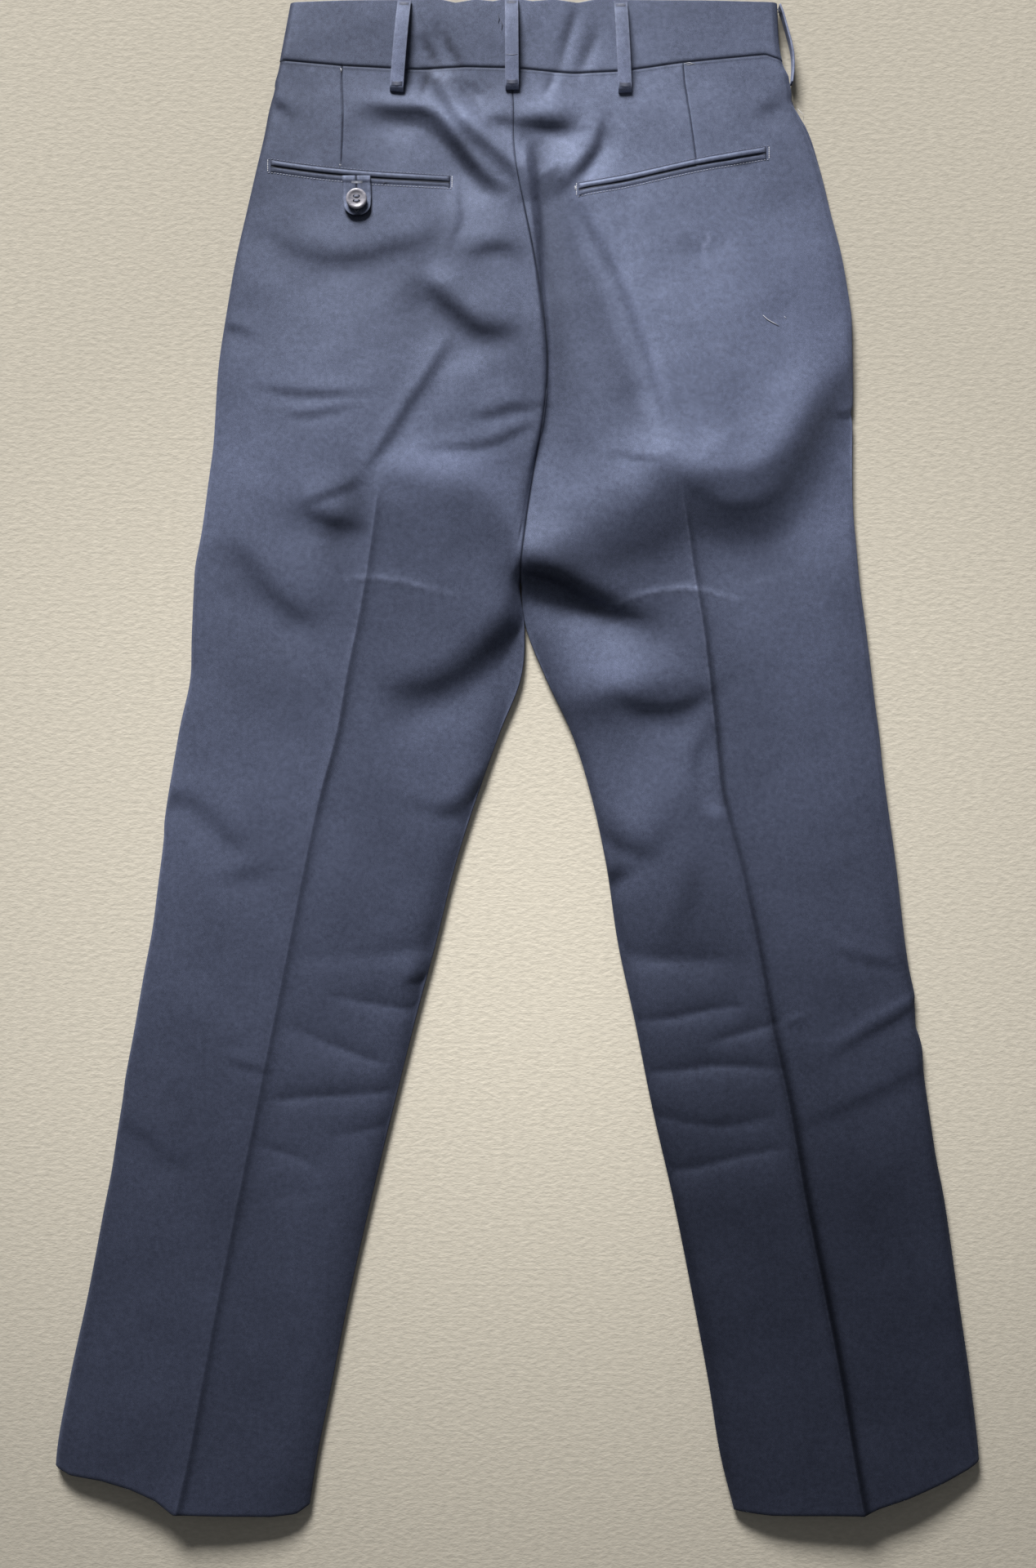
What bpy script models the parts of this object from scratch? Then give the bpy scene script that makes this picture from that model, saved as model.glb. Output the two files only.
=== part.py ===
"""Navy serge dress trousers, laid flat with the back up and the waist towards +Y.

Every leg is a back panel over a front panel, parted by 0.3 mm at their seams. A panel is a grid
of points, worked out from the sections and folds below, with a Solidify modifier for the cloth.
"Across" is millimetres towards the wearer's right, from the middle. "Down" is millimetres from
the top edge of the waistband.
"""

import math
from collections import namedtuple

import bmesh
import bpy
import numpy as np
from mathutils import Vector
from mathutils.bvhtree import BVHTree

# Driving dimensions, in metres
MM = 0.001
LENGTH = 1.124
PANEL_WALL = 0.0012
BAND_WALL = 0.0020
STRAP_WALL = 0.0016
WELT_WALL = 0.0012
SEAM_GAP = 0.0003
LIP = 0.0005
EDGE_RADIUS = 0.0045
FRONT_EDGE_RADIUS = 0.0018
LOOP_WIDTH = 0.0100
LOOP_LENGTH = 0.067
LOOP_ARCH = 0.0058
POCKET_WELT_HEIGHT = 0.0040
BUTTON_DIAMETER = 0.0155
BUTTON_THICKNESS = 0.0030

# Where the seat seam meets the two inseams
CROTCH_DOWN = 467
SEAM_FALLS_FROM = 425
# The two panels part this much faster than the seam falls, as their cloth turns on edge
PARTS_BY = 6

Section = namedtuple("Section", "down outseam crease inner")
LEFT_SECTIONS = [
    Section(0, -168, -99, -5),
    Section(45, -176, -99, -4),
    Section(62, -179, -100, -4),
    Section(80, -184, -100, -3),
    Section(100, -188, -101, -3),
    Section(125, -194, -103, -1),
    Section(155, -201, -104, 5),
    Section(190, -209, -105, 12),
    Section(230, -216, -105, 18),
    Section(270, -222, -104, 22),
    Section(310, -225, -103, 19),
    Section(350, -229, -101, 12),
    Section(390, -234, -106, 6),
    Section(430, -240, -112, 2),
    Section(467, -242, -119, 6),
    Section(500, -244, -126, 4),
    Section(545, -252, -134, -13),
    Section(590, -259, -146, -29),
    Section(640, -265, -157, -45),
    Section(700, -274, -169, -60),
    Section(760, -284, -181, -76),
    Section(820, -294, -193, -91),
    Section(890, -306, -207, -108),
    Section(960, -319, -221, -124),
    Section(1030, -334, -234, -138),
    Section(1085, -343, -244, -149),
    Section(1124, -343, -253, -155),
]
RIGHT_SECTIONS = [
    Section(0, 192, 95, -5),
    Section(45, 196, 95, -4),
    Section(62, 202, 95, -4),
    Section(80, 206, 96, -3),
    Section(100, 215, 97, -3),
    Section(125, 224, 98, -1),
    Section(155, 232, 100, 5),
    Section(190, 241, 102, 12),
    Section(230, 247, 105, 18),
    Section(270, 249, 108, 22),
    Section(310, 249, 113, 19),
    Section(350, 249, 118, 12),
    Section(390, 251, 125, 6),
    Section(430, 254, 131, 2),
    Section(467, 259, 137, 6),
    Section(500, 263, 141, 19),
    Section(545, 268, 146, 40),
    Section(590, 274, 151, 54),
    Section(640, 281, 164, 65),
    Section(700, 288, 177, 74),
    Section(760, 297, 188, 87),
    Section(820, 305, 201, 99),
    Section(890, 317, 213, 115),
    Section(960, 327, 227, 129),
    Section(1030, 337, 240, 142),
    Section(1085, 343, 249, 151),
    Section(1124, 345, 256, 161),
]

# Heights above the surface, in millimetres. The sheets are taken at the middle of their cloth.
Height = namedtuple("Height", "down front_lift side_seam edge middle centre")
HEIGHTS = [
    Height(0, 1.5, 5.0, 9.0, 12.0, 12.0),
    Height(60, 1.5, 5.0, 9.0, 12.0, 12.5),
    Height(80, 1.5, 4.6, 8.6, 13.2, 13.5),
    Height(130, 0.0, 3.3, 7.5, 15.0, 16.0),
    Height(200, 0.0, 3.0, 7.0, 18.0, 18.0),
    Height(300, 0.0, 3.0, 7.0, 24.0, 18.0),
    Height(360, 0.0, 3.0, 7.0, 23.0, 15.0),
    Height(420, 0.0, 3.0, 6.8, 18.0, 12.0),
    Height(470, 0.0, 3.0, 6.6, 15.0, 7.0),
    Height(560, 0.0, 3.0, 6.5, 13.0, 6.5),
    Height(700, 0.0, 3.0, 6.4, 11.0, 6.4),
    Height(900, 0.0, 3.0, 6.4, 11.0, 6.4),
    Height(1040, 0.0, 3.0, 6.6, 12.5, 6.6),
    Height(1124, 0.0, 3.2, 7.6, 15.0, 7.6),
]

# How far the waist seam and the hem leave a straight line, from the outseam (share 0) inwards
Offset = namedtuple("Offset", "share down")
WAIST_SEAM_DOWN = 50
LEFT_WAIST_SEAM = [Offset(0, -5), Offset(0.27, 0), Offset(0.6, 3), Offset(0.8, 1), Offset(1, 2)]
RIGHT_WAIST_SEAM = [
    Offset(0, -5),
    Offset(0.06, -9),
    Offset(0.2, -6),
    Offset(0.38, -2),
    Offset(0.58, 4),
    Offset(0.78, 6),
    Offset(1, 2),
]
FRONT_WAIST_SEAM = [Offset(0, -5), Offset(1, 2)]
LEFT_HEM = [
    Offset(0, -36),
    Offset(0.06, -30),
    Offset(0.18, -27),
    Offset(0.3, -21),
    Offset(0.4, -13),
    Offset(0.47, -3),
    Offset(0.6, -2),
    Offset(0.85, 0),
    Offset(0.95, -1),
    Offset(1, -7),
]
RIGHT_HEM = [
    Offset(0, -40),
    Offset(0.05, -34),
    Offset(0.15, -25),
    Offset(0.3, -14),
    Offset(0.42, -7),
    Offset(0.48, -2),
    Offset(0.6, -2),
    Offset(0.85, -1),
    Offset(1, -3),
]
FRONT_HEM_RISE = 14
TOP_EDGE = [
    Offset(0, 2),
    Offset(0.5, 1.5),
    Offset(0.68, 1),
    Offset(0.75, 3.5),
    Offset(0.84, 1),
    Offset(0.92, 2.5),
    Offset(1, 0),
]
WAIST_SLOPE_ENDS = 140
HEM_SLOPE_STARTS = 880

# Soft ridges (height over 0) and troughs (under 0). The right and left widths are those on each
# hand of someone who walks along the points. A point's strength is its share of the height.
Fold = namedtuple("Fold", "name height right left points")
FOLDS = [
    Fold("valley beside the seat seam", -6, 7, 14,
         [(10, 108, 0.2), (13, 130, 1), (15, 179, 1), (21, 230, 0.9), (26, 281, 0.5), (20, 320, 0)]),
    Fold("ridge across the right seat", 6, 20, 9,
         [(16, 104, 0.3), (45, 153, 0.9), (61, 190, 1), (93, 273, 1), (113, 333, 0.9), (122, 352, 0.2)]),
    Fold("ridge from the left loop to the seam", 5, 9, 14,
         [(-70, 58, 0.3), (-43, 101, 1), (-25, 110, 1), (-6, 127, 0.8), (4, 150, 0)]),
    Fold("hollow under that ridge", -5, 12, 9,
         [(-120, 80, 0), (-85, 82, 0.7), (-56, 93, 1), (-37, 119, 1), (-15, 138, 0.2)]),
    Fold("hollow above the right pocket", -4, 10, 10,
         [(62, 80, 0), (57, 97, 0.8), (50, 117, 1), (37, 134, 0.3)]),
    Fold("dent right of the seam", -4, 9, 9, [(2, 92, 0.3), (20, 93, 1), (38, 94, 0.3)]),
    Fold("hollow in the left seat", -5, 16, 14,
         [(-70, 212, 0.3), (-45, 236, 1), (-28, 249, 1), (-4, 243, 0.2)]),
    Fold("line under the left seat", -2.5, 12, 8, [(-50, 258, 0), (-73, 295, 1), (-103, 344, 0.6)]),
    Fold("lower edge of the right seat", 6, 15, 26,
         [(110, 345, 0.4), (151, 346, 1), (172, 344, 1), (190, 328, 1), (213, 290, 0.8), (238, 262, 0)]),
    Fold("hollow under the right seat", -5, 16, 14,
         [(118, 372, 0.2), (150, 380, 1), (180, 372, 1), (212, 335, 0.8), (240, 300, 0)]),
    Fold("ridge over the crotch", 5, 16, 16, [(8, 394, 0.3), (51, 380, 1), (101, 359, 0.5)]),
    Fold("deep fold at the crotch", -8, 13, 13, [(2, 415, 0.4), (20, 424, 1), (48, 432, 0.8), (80, 446, 0)]),
    Fold("bulge under the crotch", 5, 15, 13, [(12, 452, 0.3), (40, 465, 1), (81, 481, 1), (135, 497, 0)]),
    Fold("hollow under that bulge", -3.5, 14, 14, [(60, 505, 0), (95, 524, 1), (130, 530, 0.3)]),
    Fold("hollow in the left thigh", -4, 18, 16, [(-165, 360, 0.1), (-142, 394, 1), (-112, 420, 0.5)]),
    Fold("hollow from the crotch to the left", -4, 14, 14,
         [(0, 471, 0.2), (-22, 477, 0.8), (-52, 501, 1), (-86, 516, 0.4)]),
    Fold("valley on the left hip", -3, 18, 18, [(-216, 390, 0), (-184, 435, 1), (-150, 461, 0.3)]),
    Fold("hollow under the left pocket", -3, 20, 18, [(-150, 205, 0), (-100, 190, 1), (-56, 178, 0.3)]),
    Fold("left knee break", -1.6, 9, 9, [(-145, 742, 0), (-110, 735, 1), (-88, 722, 0.6)]),
    Fold("left knee break, lower", -1.6, 9, 9, [(-160, 800, 0), (-128, 792, 1), (-100, 800, 0.5)]),
    Fold("right knee break", -1.8, 8, 9, [(90, 760, 0.5), (135, 758, 1), (180, 750, 0.2)]),
    Fold("right knee break, middle", -1.8, 8, 9, [(97, 797, 0.5), (150, 790, 1), (185, 796, 0.2)]),
    Fold("right knee break, lower", -1.8, 8, 9, [(104, 868, 0.5), (140, 866, 1), (165, 848, 0)]),
    Fold("right outer knee break", -2, 9, 10, [(215, 790, 0), (250, 766, 1), (285, 742, 0.6)]),
    Fold("left band gather", -1.8, 5, 6, [(-52, 10, 0.4), (-42, 30, 1), (-36, 60, 0.3)]),
    Fold("right band gather", -1.8, 6, 5, [(44, 5, 0.4), (38, 28, 1), (32, 60, 0.3)]),
]
PRESSED_CREASE_HEIGHT = 1.4
PRESSED_CREASE_WIDTH = 7
LEFT_CREASE_STARTS = 345
RIGHT_CREASE_STARTS = 350

# Belt loops: across is the middle of the strap, top and foot are down from the top edge
Loop = namedtuple("Loop", "name across_top across_foot top")
BACK_LOOPS = [
    Loop("belt_loop_back_left", -83.5, -89.5, 2),
    Loop("belt_loop_centre", -4.5, -4.0, 1),
    Loop("belt_loop_back_right", 76.0, 79.5, 3),
]
HIDDEN_LOOPS = [
    Loop("belt_loop_side_left", -156, -162, 3),
    Loop("belt_loop_front_left", -78, -80, 3),
    Loop("belt_loop_front_right", 88, 90, 3),
]
# The right side loop stands out past the waistband: its middle line seen from above
SIDE_LOOP = [(194.4, 3), (196.8, 9), (199.2, 18), (202.6, 30), (204.6, 40), (204.8, 50), (204.2, 57), (203.6, 61)]
SIDE_LOOP_FOOT = 0.0006
SIDE_LOOP_WIDTH = 0.0094

# Pocket mouths, from the outseam side inwards: (across, down)
LEFT_MOUTH = [(-183, 123.5), (-158, 128), (-132, 131.5), (-106, 134), (-80, 135.5), (-50, 136.5)]
RIGHT_MOUTH = [(184, 114.5), (160, 119), (134, 124), (108, 130), (82, 136), (45, 142.5)]

# The buttoned tab of the left pocket, by its distance below the mouth
TabRow = namedtuple("TabRow", "below width")
TAB = [
    TabRow(0.4, 20.6),
    TabRow(4.2, 20.6),
    TabRow(6, 20.6),
    TabRow(10, 20.8),
    TabRow(16, 21),
    TabRow(21, 20),
    TabRow(24.5, 16.5),
    TabRow(27.5, 11),
    TabRow(29.6, 5),
]
TAB_ACROSS = -119
TAB_LEAN = 0.03
BUTTON_BELOW_MOUTH = 18.5
# The rounded fold that shows beside the mouth of the right side pocket
SIDE_POCKET_FROM = 80
SIDE_POCKET_TO = 112
SIDE_POCKET_FOLD_RADIUS = 0.0012
SIDE_POCKET_HEIGHT = 0.0038

NAVY = (0.030, 0.042, 0.088)
NAVY_STRAP = (0.050, 0.066, 0.115)
NAVY_HORN = (0.035, 0.040, 0.060)


def clear_scene():
    for obj in list(bpy.data.objects):
        bpy.data.objects.remove(obj, do_unlink=True)


def new_collection(name, helper=False):
    collection = bpy.data.collections.new(name)
    bpy.context.scene.collection.children.link(collection)
    collection.hide_render = helper
    return collection


def material(name, colour, roughness):
    made = bpy.data.materials.new(name)
    made.use_nodes = True
    shader = made.node_tree.nodes["Principled BSDF"]
    shader.inputs["Base Color"].default_value = (*colour, 1)
    shader.inputs["Roughness"].default_value = roughness
    shader.inputs["Metallic"].default_value = 0
    return made


def smooth_step(value):
    value = np.clip(value, 0, 1)
    return value * value * (3 - 2 * value)


def curve_through(rows, key, value, at):
    """A smooth curve through a table's column, read at other values of its key column."""
    keys = np.array([getattr(row, key) for row in rows], float)
    values = np.array([getattr(row, value) for row in rows], float)
    slopes = np.gradient(values, keys)
    at = np.clip(np.asarray(at, float), keys[0], keys[-1])
    index = np.clip(np.searchsorted(keys, at) - 1, 0, len(keys) - 2)
    step = keys[index + 1] - keys[index]
    t = (at - keys[index]) / step
    first, second = values[index], values[index + 1]
    rise = (2 * t**3 - 3 * t**2 + 1) * first + (3 * t**2 - 2 * t**3) * second
    return rise + step * ((t**3 - 2 * t**2 + t) * slopes[index] + (t**3 - t**2) * slopes[index + 1])


def straight_through(rows, key, value, at):
    keys = [getattr(row, key) for row in rows]
    return np.interp(at, keys, [getattr(row, value) for row in rows])


def fold_heights(across, down):
    """The sum of all folds at these points, in millimetres."""
    total = np.zeros(np.shape(across))
    for fold in FOLDS:
        best = np.full(np.shape(across), np.inf)
        height = np.zeros(np.shape(across))
        for (x0, y0, start), (x1, y1, end) in zip(fold.points, fold.points[1:]):
            length = math.hypot(x1 - x0, y1 - y0)
            along_x, along_y = (x1 - x0) / length, (y1 - y0) / length
            share = np.clip(((across - x0) * along_x + (down - y0) * along_y) / length, 0, 1)
            off_x = across - x0 - share * length * along_x
            off_y = down - y0 - share * length * along_y
            distance = np.hypot(off_x, off_y)
            on_right = along_x * off_y - along_y * off_x > 0
            reach = distance / np.where(on_right, fold.right, fold.left)
            closer = reach < best
            best = np.where(closer, reach, best)
            strength = start + (end - start) * share
            height = np.where(closer, fold.height * strength * np.exp(-(reach**2)), height)
        total += height
    return total


class Leg:
    """One side of the trousers: its outline, its levels and the height of its back cloth."""

    def __init__(self, side, sections, waist_seam, hem, crease_starts):
        self.side = side
        self.sections = sections
        self.waist_seam = waist_seam
        self.hem = hem
        self.crease_starts = crease_starts
        self.sign = -1 if side == "left" else 1

    def turned(self, down):
        """0 where the inner edge is the seat seam, 1 where it folds down as the inseam."""
        return smooth_step((down - SEAM_FALLS_FROM) / (CROTCH_DOWN - SEAM_FALLS_FROM))

    def inner(self, down):
        parted = np.minimum(1, PARTS_BY * self.turned(down))
        half_gap = 0.5 * SEAM_GAP / MM + (0.5 * PANEL_WALL / MM + 0.4) * parted
        return curve_through(self.sections, "down", "inner", down) + self.sign * half_gap

    def level(self, down, share, waist_offsets, hem_offsets, hem_rise=0):
        """How far down a point of this row lies, as the waist seam and the hem slope."""
        waist = straight_through(waist_offsets, "share", "down", share)
        near_waist = 1 - smooth_step((down - WAIST_SEAM_DOWN) / (WAIST_SLOPE_ENDS - WAIST_SEAM_DOWN))
        hem = straight_through(hem_offsets, "share", "down", share)
        hem = hem - hem_rise * np.sin(math.pi * np.clip(share, 0, 1))
        near_hem = smooth_step((down - HEM_SLOPE_STARTS) / (LENGTH / MM - HEM_SLOPE_STARTS))
        return down + waist * near_waist + hem * near_hem

    def back_height(self, across, down):
        """The middle of the back cloth over any point of the plan, in millimetres."""
        outseam = curve_through(self.sections, "down", "outseam", down)
        crease = curve_through(self.sections, "down", "crease", down)
        inner = self.inner(down)
        edge = curve_through(HEIGHTS, "down", "edge", down)
        middle = curve_through(HEIGHTS, "down", "middle", down)
        centre = curve_through(HEIGHTS, "down", "centre", down)
        outer_share = np.clip((across - outseam) / (crease - outseam), 0, 1)
        inner_share = np.clip((inner - across) / (inner - crease), 0, 1)
        rises = edge + (middle - edge) * (1 - (1 - outer_share) ** 2)
        falls = centre + (middle - centre) * (1 - (1 - inner_share) ** 2)
        dome = np.where((across - crease) * self.sign > 0, rises, falls)
        pressed = smooth_step((down - self.crease_starts) / 60)
        ridge = PRESSED_CREASE_HEIGHT * np.exp(-np.abs(across - crease) / PRESSED_CREASE_WIDTH)
        return dome + pressed * ridge + fold_heights(across, down)


def place(across, down, height):
    """Millimetres on the laid trousers to a point in metres."""
    return np.stack([across * MM, LENGTH / 2 - down * MM, height * MM], axis=-1)


def edge_columns(count, radius):
    """Distances in from an edge, in millimetres, as its round fold is cut into even angles."""
    angles = np.linspace(0, math.pi / 2, count + 1)
    return radius * (1 - np.cos(angles))


def round_edge(distance, radius):
    """0 at an edge and 1 from its radius inwards, as a quarter of an ellipse."""
    inside = np.clip(1 - distance / radius, 0, 1)
    return np.sqrt(1 - inside**2)


def panel_columns(leg, row_down, between, radius, arcs):
    """Across places of one row, with a column on the pressed crease."""
    outseam = float(curve_through(leg.sections, "down", "outseam", row_down[0]))
    crease = float(curve_through(leg.sections, "down", "crease", row_down[1]))
    inner = float(leg.inner(row_down[2]))
    edge = edge_columns(arcs, radius)
    outer_width, inner_width = abs(crease - outseam), abs(inner - crease)
    outer = np.concatenate([[0], edge, np.linspace(radius, outer_width, between[0] + 1)[1:]])
    inward = np.concatenate([[0], edge, np.linspace(radius, inner_width, between[1] + 1)[1:-1]])
    across = np.concatenate([outseam - leg.sign * outer, (inner + leg.sign * inward)[::-1]])
    from_outseam = np.abs(across - outseam)
    from_inner = np.abs(across - inner)
    return across, from_outseam, from_inner


def back_panel_points(leg, rows, between, waist_gap):
    """The middle of a back panel's cloth, as rows of points."""
    radius, lip = EDGE_RADIUS / MM, LIP / MM
    made = []
    for down in rows:
        ends = [
            float(leg.level(down, share, leg.waist_seam, leg.hem)) for share in (0, 0.5, 1)
        ]
        across, from_outseam, from_inner = panel_columns(leg, ends, between, radius, 3)
        share = from_outseam / (from_outseam + from_inner)
        level = leg.level(down, share, leg.waist_seam, leg.hem)
        level = level + waist_gap * (down == rows[0])
        top = leg.back_height(across, level)
        turned = leg.turned(level)
        seam = curve_through(HEIGHTS, "down", "side_seam", level) + 0.5 * SEAM_GAP / MM
        foot = seam + lip
        outer = foot + (top - foot) * round_edge(from_outseam, radius)
        folded = foot + (top - foot) * round_edge(from_inner, radius)
        height = np.where(from_outseam < from_inner, outer, top + (folded - top) * turned)
        height[0] = seam[0]
        height[-1] = top[-1] + (seam[-1] - top[-1]) * turned[-1]
        across[-2] += leg.sign * lip * (1 - turned[-2])
        made.append(place(across, level, height))
    return np.array(made)


def front_panel_points(leg, rows, between, waist_gap):
    """The middle of a front panel's cloth, flat where it rests."""
    radius, lip = FRONT_EDGE_RADIUS / MM, LIP / MM
    made = []
    for down in rows:
        ends = [
            float(leg.level(down, share, FRONT_WAIST_SEAM, leg.hem, FRONT_HEM_RISE))
            for share in (0, 0.5, 1)
        ]
        across, from_outseam, from_inner = panel_columns(leg, ends, between, radius, 2)
        share = from_outseam / (from_outseam + from_inner)
        level = leg.level(down, share, FRONT_WAIST_SEAM, leg.hem, FRONT_HEM_RISE)
        level = level + waist_gap * (down == rows[0])
        flat = 0.5 * PANEL_WALL / MM + straight_through(HEIGHTS, "down", "front_lift", level)
        turned = leg.turned(level)
        seam = curve_through(HEIGHTS, "down", "side_seam", level) - 0.5 * SEAM_GAP / MM
        foot = seam - lip
        outer = foot + (flat - foot) * round_edge(from_outseam, radius)
        folded = foot + (flat - foot) * round_edge(from_inner, radius)
        height = np.where(from_outseam < from_inner, outer, flat + (folded - flat) * turned)
        height[0] = seam[0]
        height[-1] = flat[-1] + (seam[-1] - flat[-1]) * turned[-1]
        across[-2] += leg.sign * lip * (1 - turned[-2])
        made.append(place(across, level, height))
    return np.array(made)


def band_points(leg, on_back, rows, between):
    """Half of the back or front waistband, from its top edge to the waist seam."""
    radius = (EDGE_RADIUS if on_back else FRONT_EDGE_RADIUS) / MM
    lip = LIP / MM
    seam_line = leg.waist_seam if on_back else FRONT_WAIST_SEAM
    made = []
    for row in rows:
        foot_ends = WAIST_SEAM_DOWN + straight_through(seam_line, "share", "down", (0, 0.5, 1))
        arcs = 3 if on_back else 2
        across, from_outseam, from_inner = panel_columns(leg, row * foot_ends, between, radius, arcs)
        share = from_outseam / (from_outseam + from_inner)
        top = straight_through(TOP_EDGE, "share", "down", share)
        foot_level = WAIST_SEAM_DOWN + straight_through(seam_line, "share", "down", share)
        level = top + (foot_level - 0.5 * SEAM_GAP / MM - top) * row
        if on_back:
            flat = leg.back_height(across, level)
            seam = curve_through(HEIGHTS, "down", "side_seam", level) + 0.5 * SEAM_GAP / MM
            foot = seam + lip
        else:
            flat = 0.5 * BAND_WALL / MM + straight_through(HEIGHTS, "down", "front_lift", level)
            seam = curve_through(HEIGHTS, "down", "side_seam", level) - 0.5 * SEAM_GAP / MM
            foot = seam - lip
        height = foot + (flat - foot) * round_edge(from_outseam, radius)
        height[0] = seam[0]
        across[-2] += leg.sign * lip
        made.append(place(across, level, height))
    return np.array(made)


def sheet_object(name, points, wall, finish, collection, faces_up=True):
    """A grid of points as a sheet with a Solidify modifier, half its wall to each side."""
    rows, columns = points.shape[:2]
    mesh = bpy.data.meshes.new(name)
    shape = bmesh.new()
    vertices = [shape.verts.new(point) for point in points.reshape(-1, 3)]
    for row in range(rows - 1):
        for column in range(columns - 1):
            first = row * columns + column
            corners = (first, first + 1, first + 1 + columns, first + columns)
            shape.faces.new([vertices[corner] for corner in corners])
    shape.normal_update()
    total = sum((face.normal * face.calc_area() for face in shape.faces), Vector())
    if (total.z > 0) != faces_up:
        bmesh.ops.reverse_faces(shape, faces=shape.faces)
    shape.to_mesh(mesh)
    shape.free()
    mesh.shade_smooth()
    mesh.materials.append(finish)
    obj = bpy.data.objects.new(name, mesh)
    collection.objects.link(obj)
    cloth = obj.modifiers.new("Cloth", "SOLIDIFY")
    cloth.thickness = wall
    cloth.offset = 0
    cloth.use_even_offset = True
    return obj


def surface_of(obj):
    """A tree of the object's finished surface, to lay other pieces on."""
    bpy.context.view_layer.update()
    return BVHTree.FromObject(obj, bpy.context.evaluated_depsgraph_get())


def top_of(trees, across, down, reach=2.0):
    """The highest point of the surfaces near a place of the plan, in millimetres."""
    found = 0.0
    for step_x in (-reach, 0, reach):
        for step_y in (-reach, 0, reach):
            start = place(across + step_x, down + step_y, 100.0)
            for tree in trees:
                hit = tree.ray_cast(Vector(start), Vector((0, 0, -1)))
                if hit[0] is not None:
                    found = max(found, hit[0].z / MM)
    return found


def path_strip(path, width):
    """Points each side of a path in the plan: two columns and a row for each point."""
    path = np.array(path, float)
    along = np.gradient(path, axis=0)
    along /= np.linalg.norm(along, axis=1)[:, None]
    side = np.stack([-along[:, 1], along[:, 0]], axis=1) * width / 2
    return np.stack([path + side, path - side], axis=1)


def back_loop(loop, trees, finish, collection):
    """A strap from the top edge to below the waist seam, standing off as if a belt ran under it."""
    shares = np.array([0, 0.05, 0.14, 0.26, 0.4, 0.55, 0.7, 0.82, 0.92, 1])
    wall = STRAP_WALL / MM
    clear = SEAM_GAP / MM + wall / 2
    down = loop.top + shares * LOOP_LENGTH / MM
    across = loop.across_top + (loop.across_foot - loop.across_top) * shares
    strip = path_strip(np.stack([across, down], axis=1), LOOP_WIDTH / MM)
    ground = np.array([max(top_of(trees, x, y, 3.0) for x, y in row) for row in strip])
    arch = np.clip(np.sin(math.pi * shares), 0, 1) ** 0.6 * LOOP_ARCH / MM
    height = ground + clear + arch
    heights = np.repeat(height[:, None], 2, axis=1)
    points = place(strip[..., 0], strip[..., 1], heights)
    return sheet_object(loop.name, points, STRAP_WALL, finish, collection)


def hidden_loop(loop, finish, collection):
    """A strap pressed flat between the front waistband and the surface."""
    path = [
        (loop.across_top, loop.top),
        (0.5 * (loop.across_top + loop.across_foot), loop.top + 0.5 * LOOP_LENGTH / MM),
        (loop.across_foot, loop.top + LOOP_LENGTH / MM),
    ]
    strip = path_strip(path, LOOP_WIDTH / MM)
    heights = np.full(strip.shape[:2], 0.5 * PANEL_WALL / MM)
    points = place(strip[..., 0], strip[..., 1], heights)
    return sheet_object(loop.name, points, PANEL_WALL, finish, collection)


def side_loop(finish, collection):
    """The right side loop, which stands on its edge beside the waistband."""
    path = np.array(SIDE_LOOP)
    low = np.full(len(path), SIDE_LOOP_FOOT / MM)
    high = low + SIDE_LOOP_WIDTH / MM
    points = np.stack([place(path[:, 0], path[:, 1], low), place(path[:, 0], path[:, 1], high)], axis=1)
    return sheet_object("belt_loop_side_right", points, STRAP_WALL, finish, collection)


def welt(name, mouth, height_from, height_to, trees, finish, collection):
    """A strip along a pocket mouth, between two distances above it, laid on the panel."""
    mouth = np.array(mouth, float)
    places = np.linspace(0, len(mouth) - 1, 2 * len(mouth) - 1)
    path = np.stack([np.interp(places, range(len(mouth)), mouth[:, i]) for i in (0, 1)], axis=1)
    clear = (SEAM_GAP + WELT_WALL / 2) / MM
    levels = (height_from, 0.5 * (height_from + height_to), height_to)
    made = []
    for across, down in path:
        row = [place(across, down - up, top_of(trees, across, down - up) + clear) for up in levels]
        made.append(row)
    return sheet_object(name, np.array(made), WELT_WALL, finish, collection)


def mouth_down(mouth, across):
    mouth = sorted(mouth)
    return float(np.interp(across, [p[0] for p in mouth], [p[1] for p in mouth]))


def pocket_tab(trees, finish, collection):
    """The tab that comes out of the pocket mouth over the lower welt, with a rounded point."""
    start = mouth_down(LEFT_MOUTH, TAB_ACROSS)
    clear = (SEAM_GAP + STRAP_WALL / 2) / MM
    made = []
    for row in TAB:
        middle = TAB_ACROSS + TAB_LEAN * row.below
        down = start + row.below
        places = [middle + side * row.width / 2 for side in (-1, -0.5, 0, 0.5, 1)]
        ground = max(top_of(trees, across, down) for across in places)
        made.append([place(across, down, ground + clear) for across in places])
    return sheet_object("pocket_left_tab", np.array(made), STRAP_WALL, finish, collection)


def button_profile():
    """Half of the button's section, from the top's middle out and round to the foot's middle."""
    radius, thick = BUTTON_DIAMETER / 2, BUTTON_THICKNESS
    dish = 0.62 * radius
    rim = 0.82 * radius
    return [
        (0.0, 0.62 * thick),
        (dish, 0.66 * thick),
        (rim, thick),
        (0.94 * radius, 0.94 * thick),
        (radius, 0.6 * thick),
        (0.9 * radius, 0.15 * thick),
        (0.7 * radius, 0.0),
        (0.0, 0.0),
    ]


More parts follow.
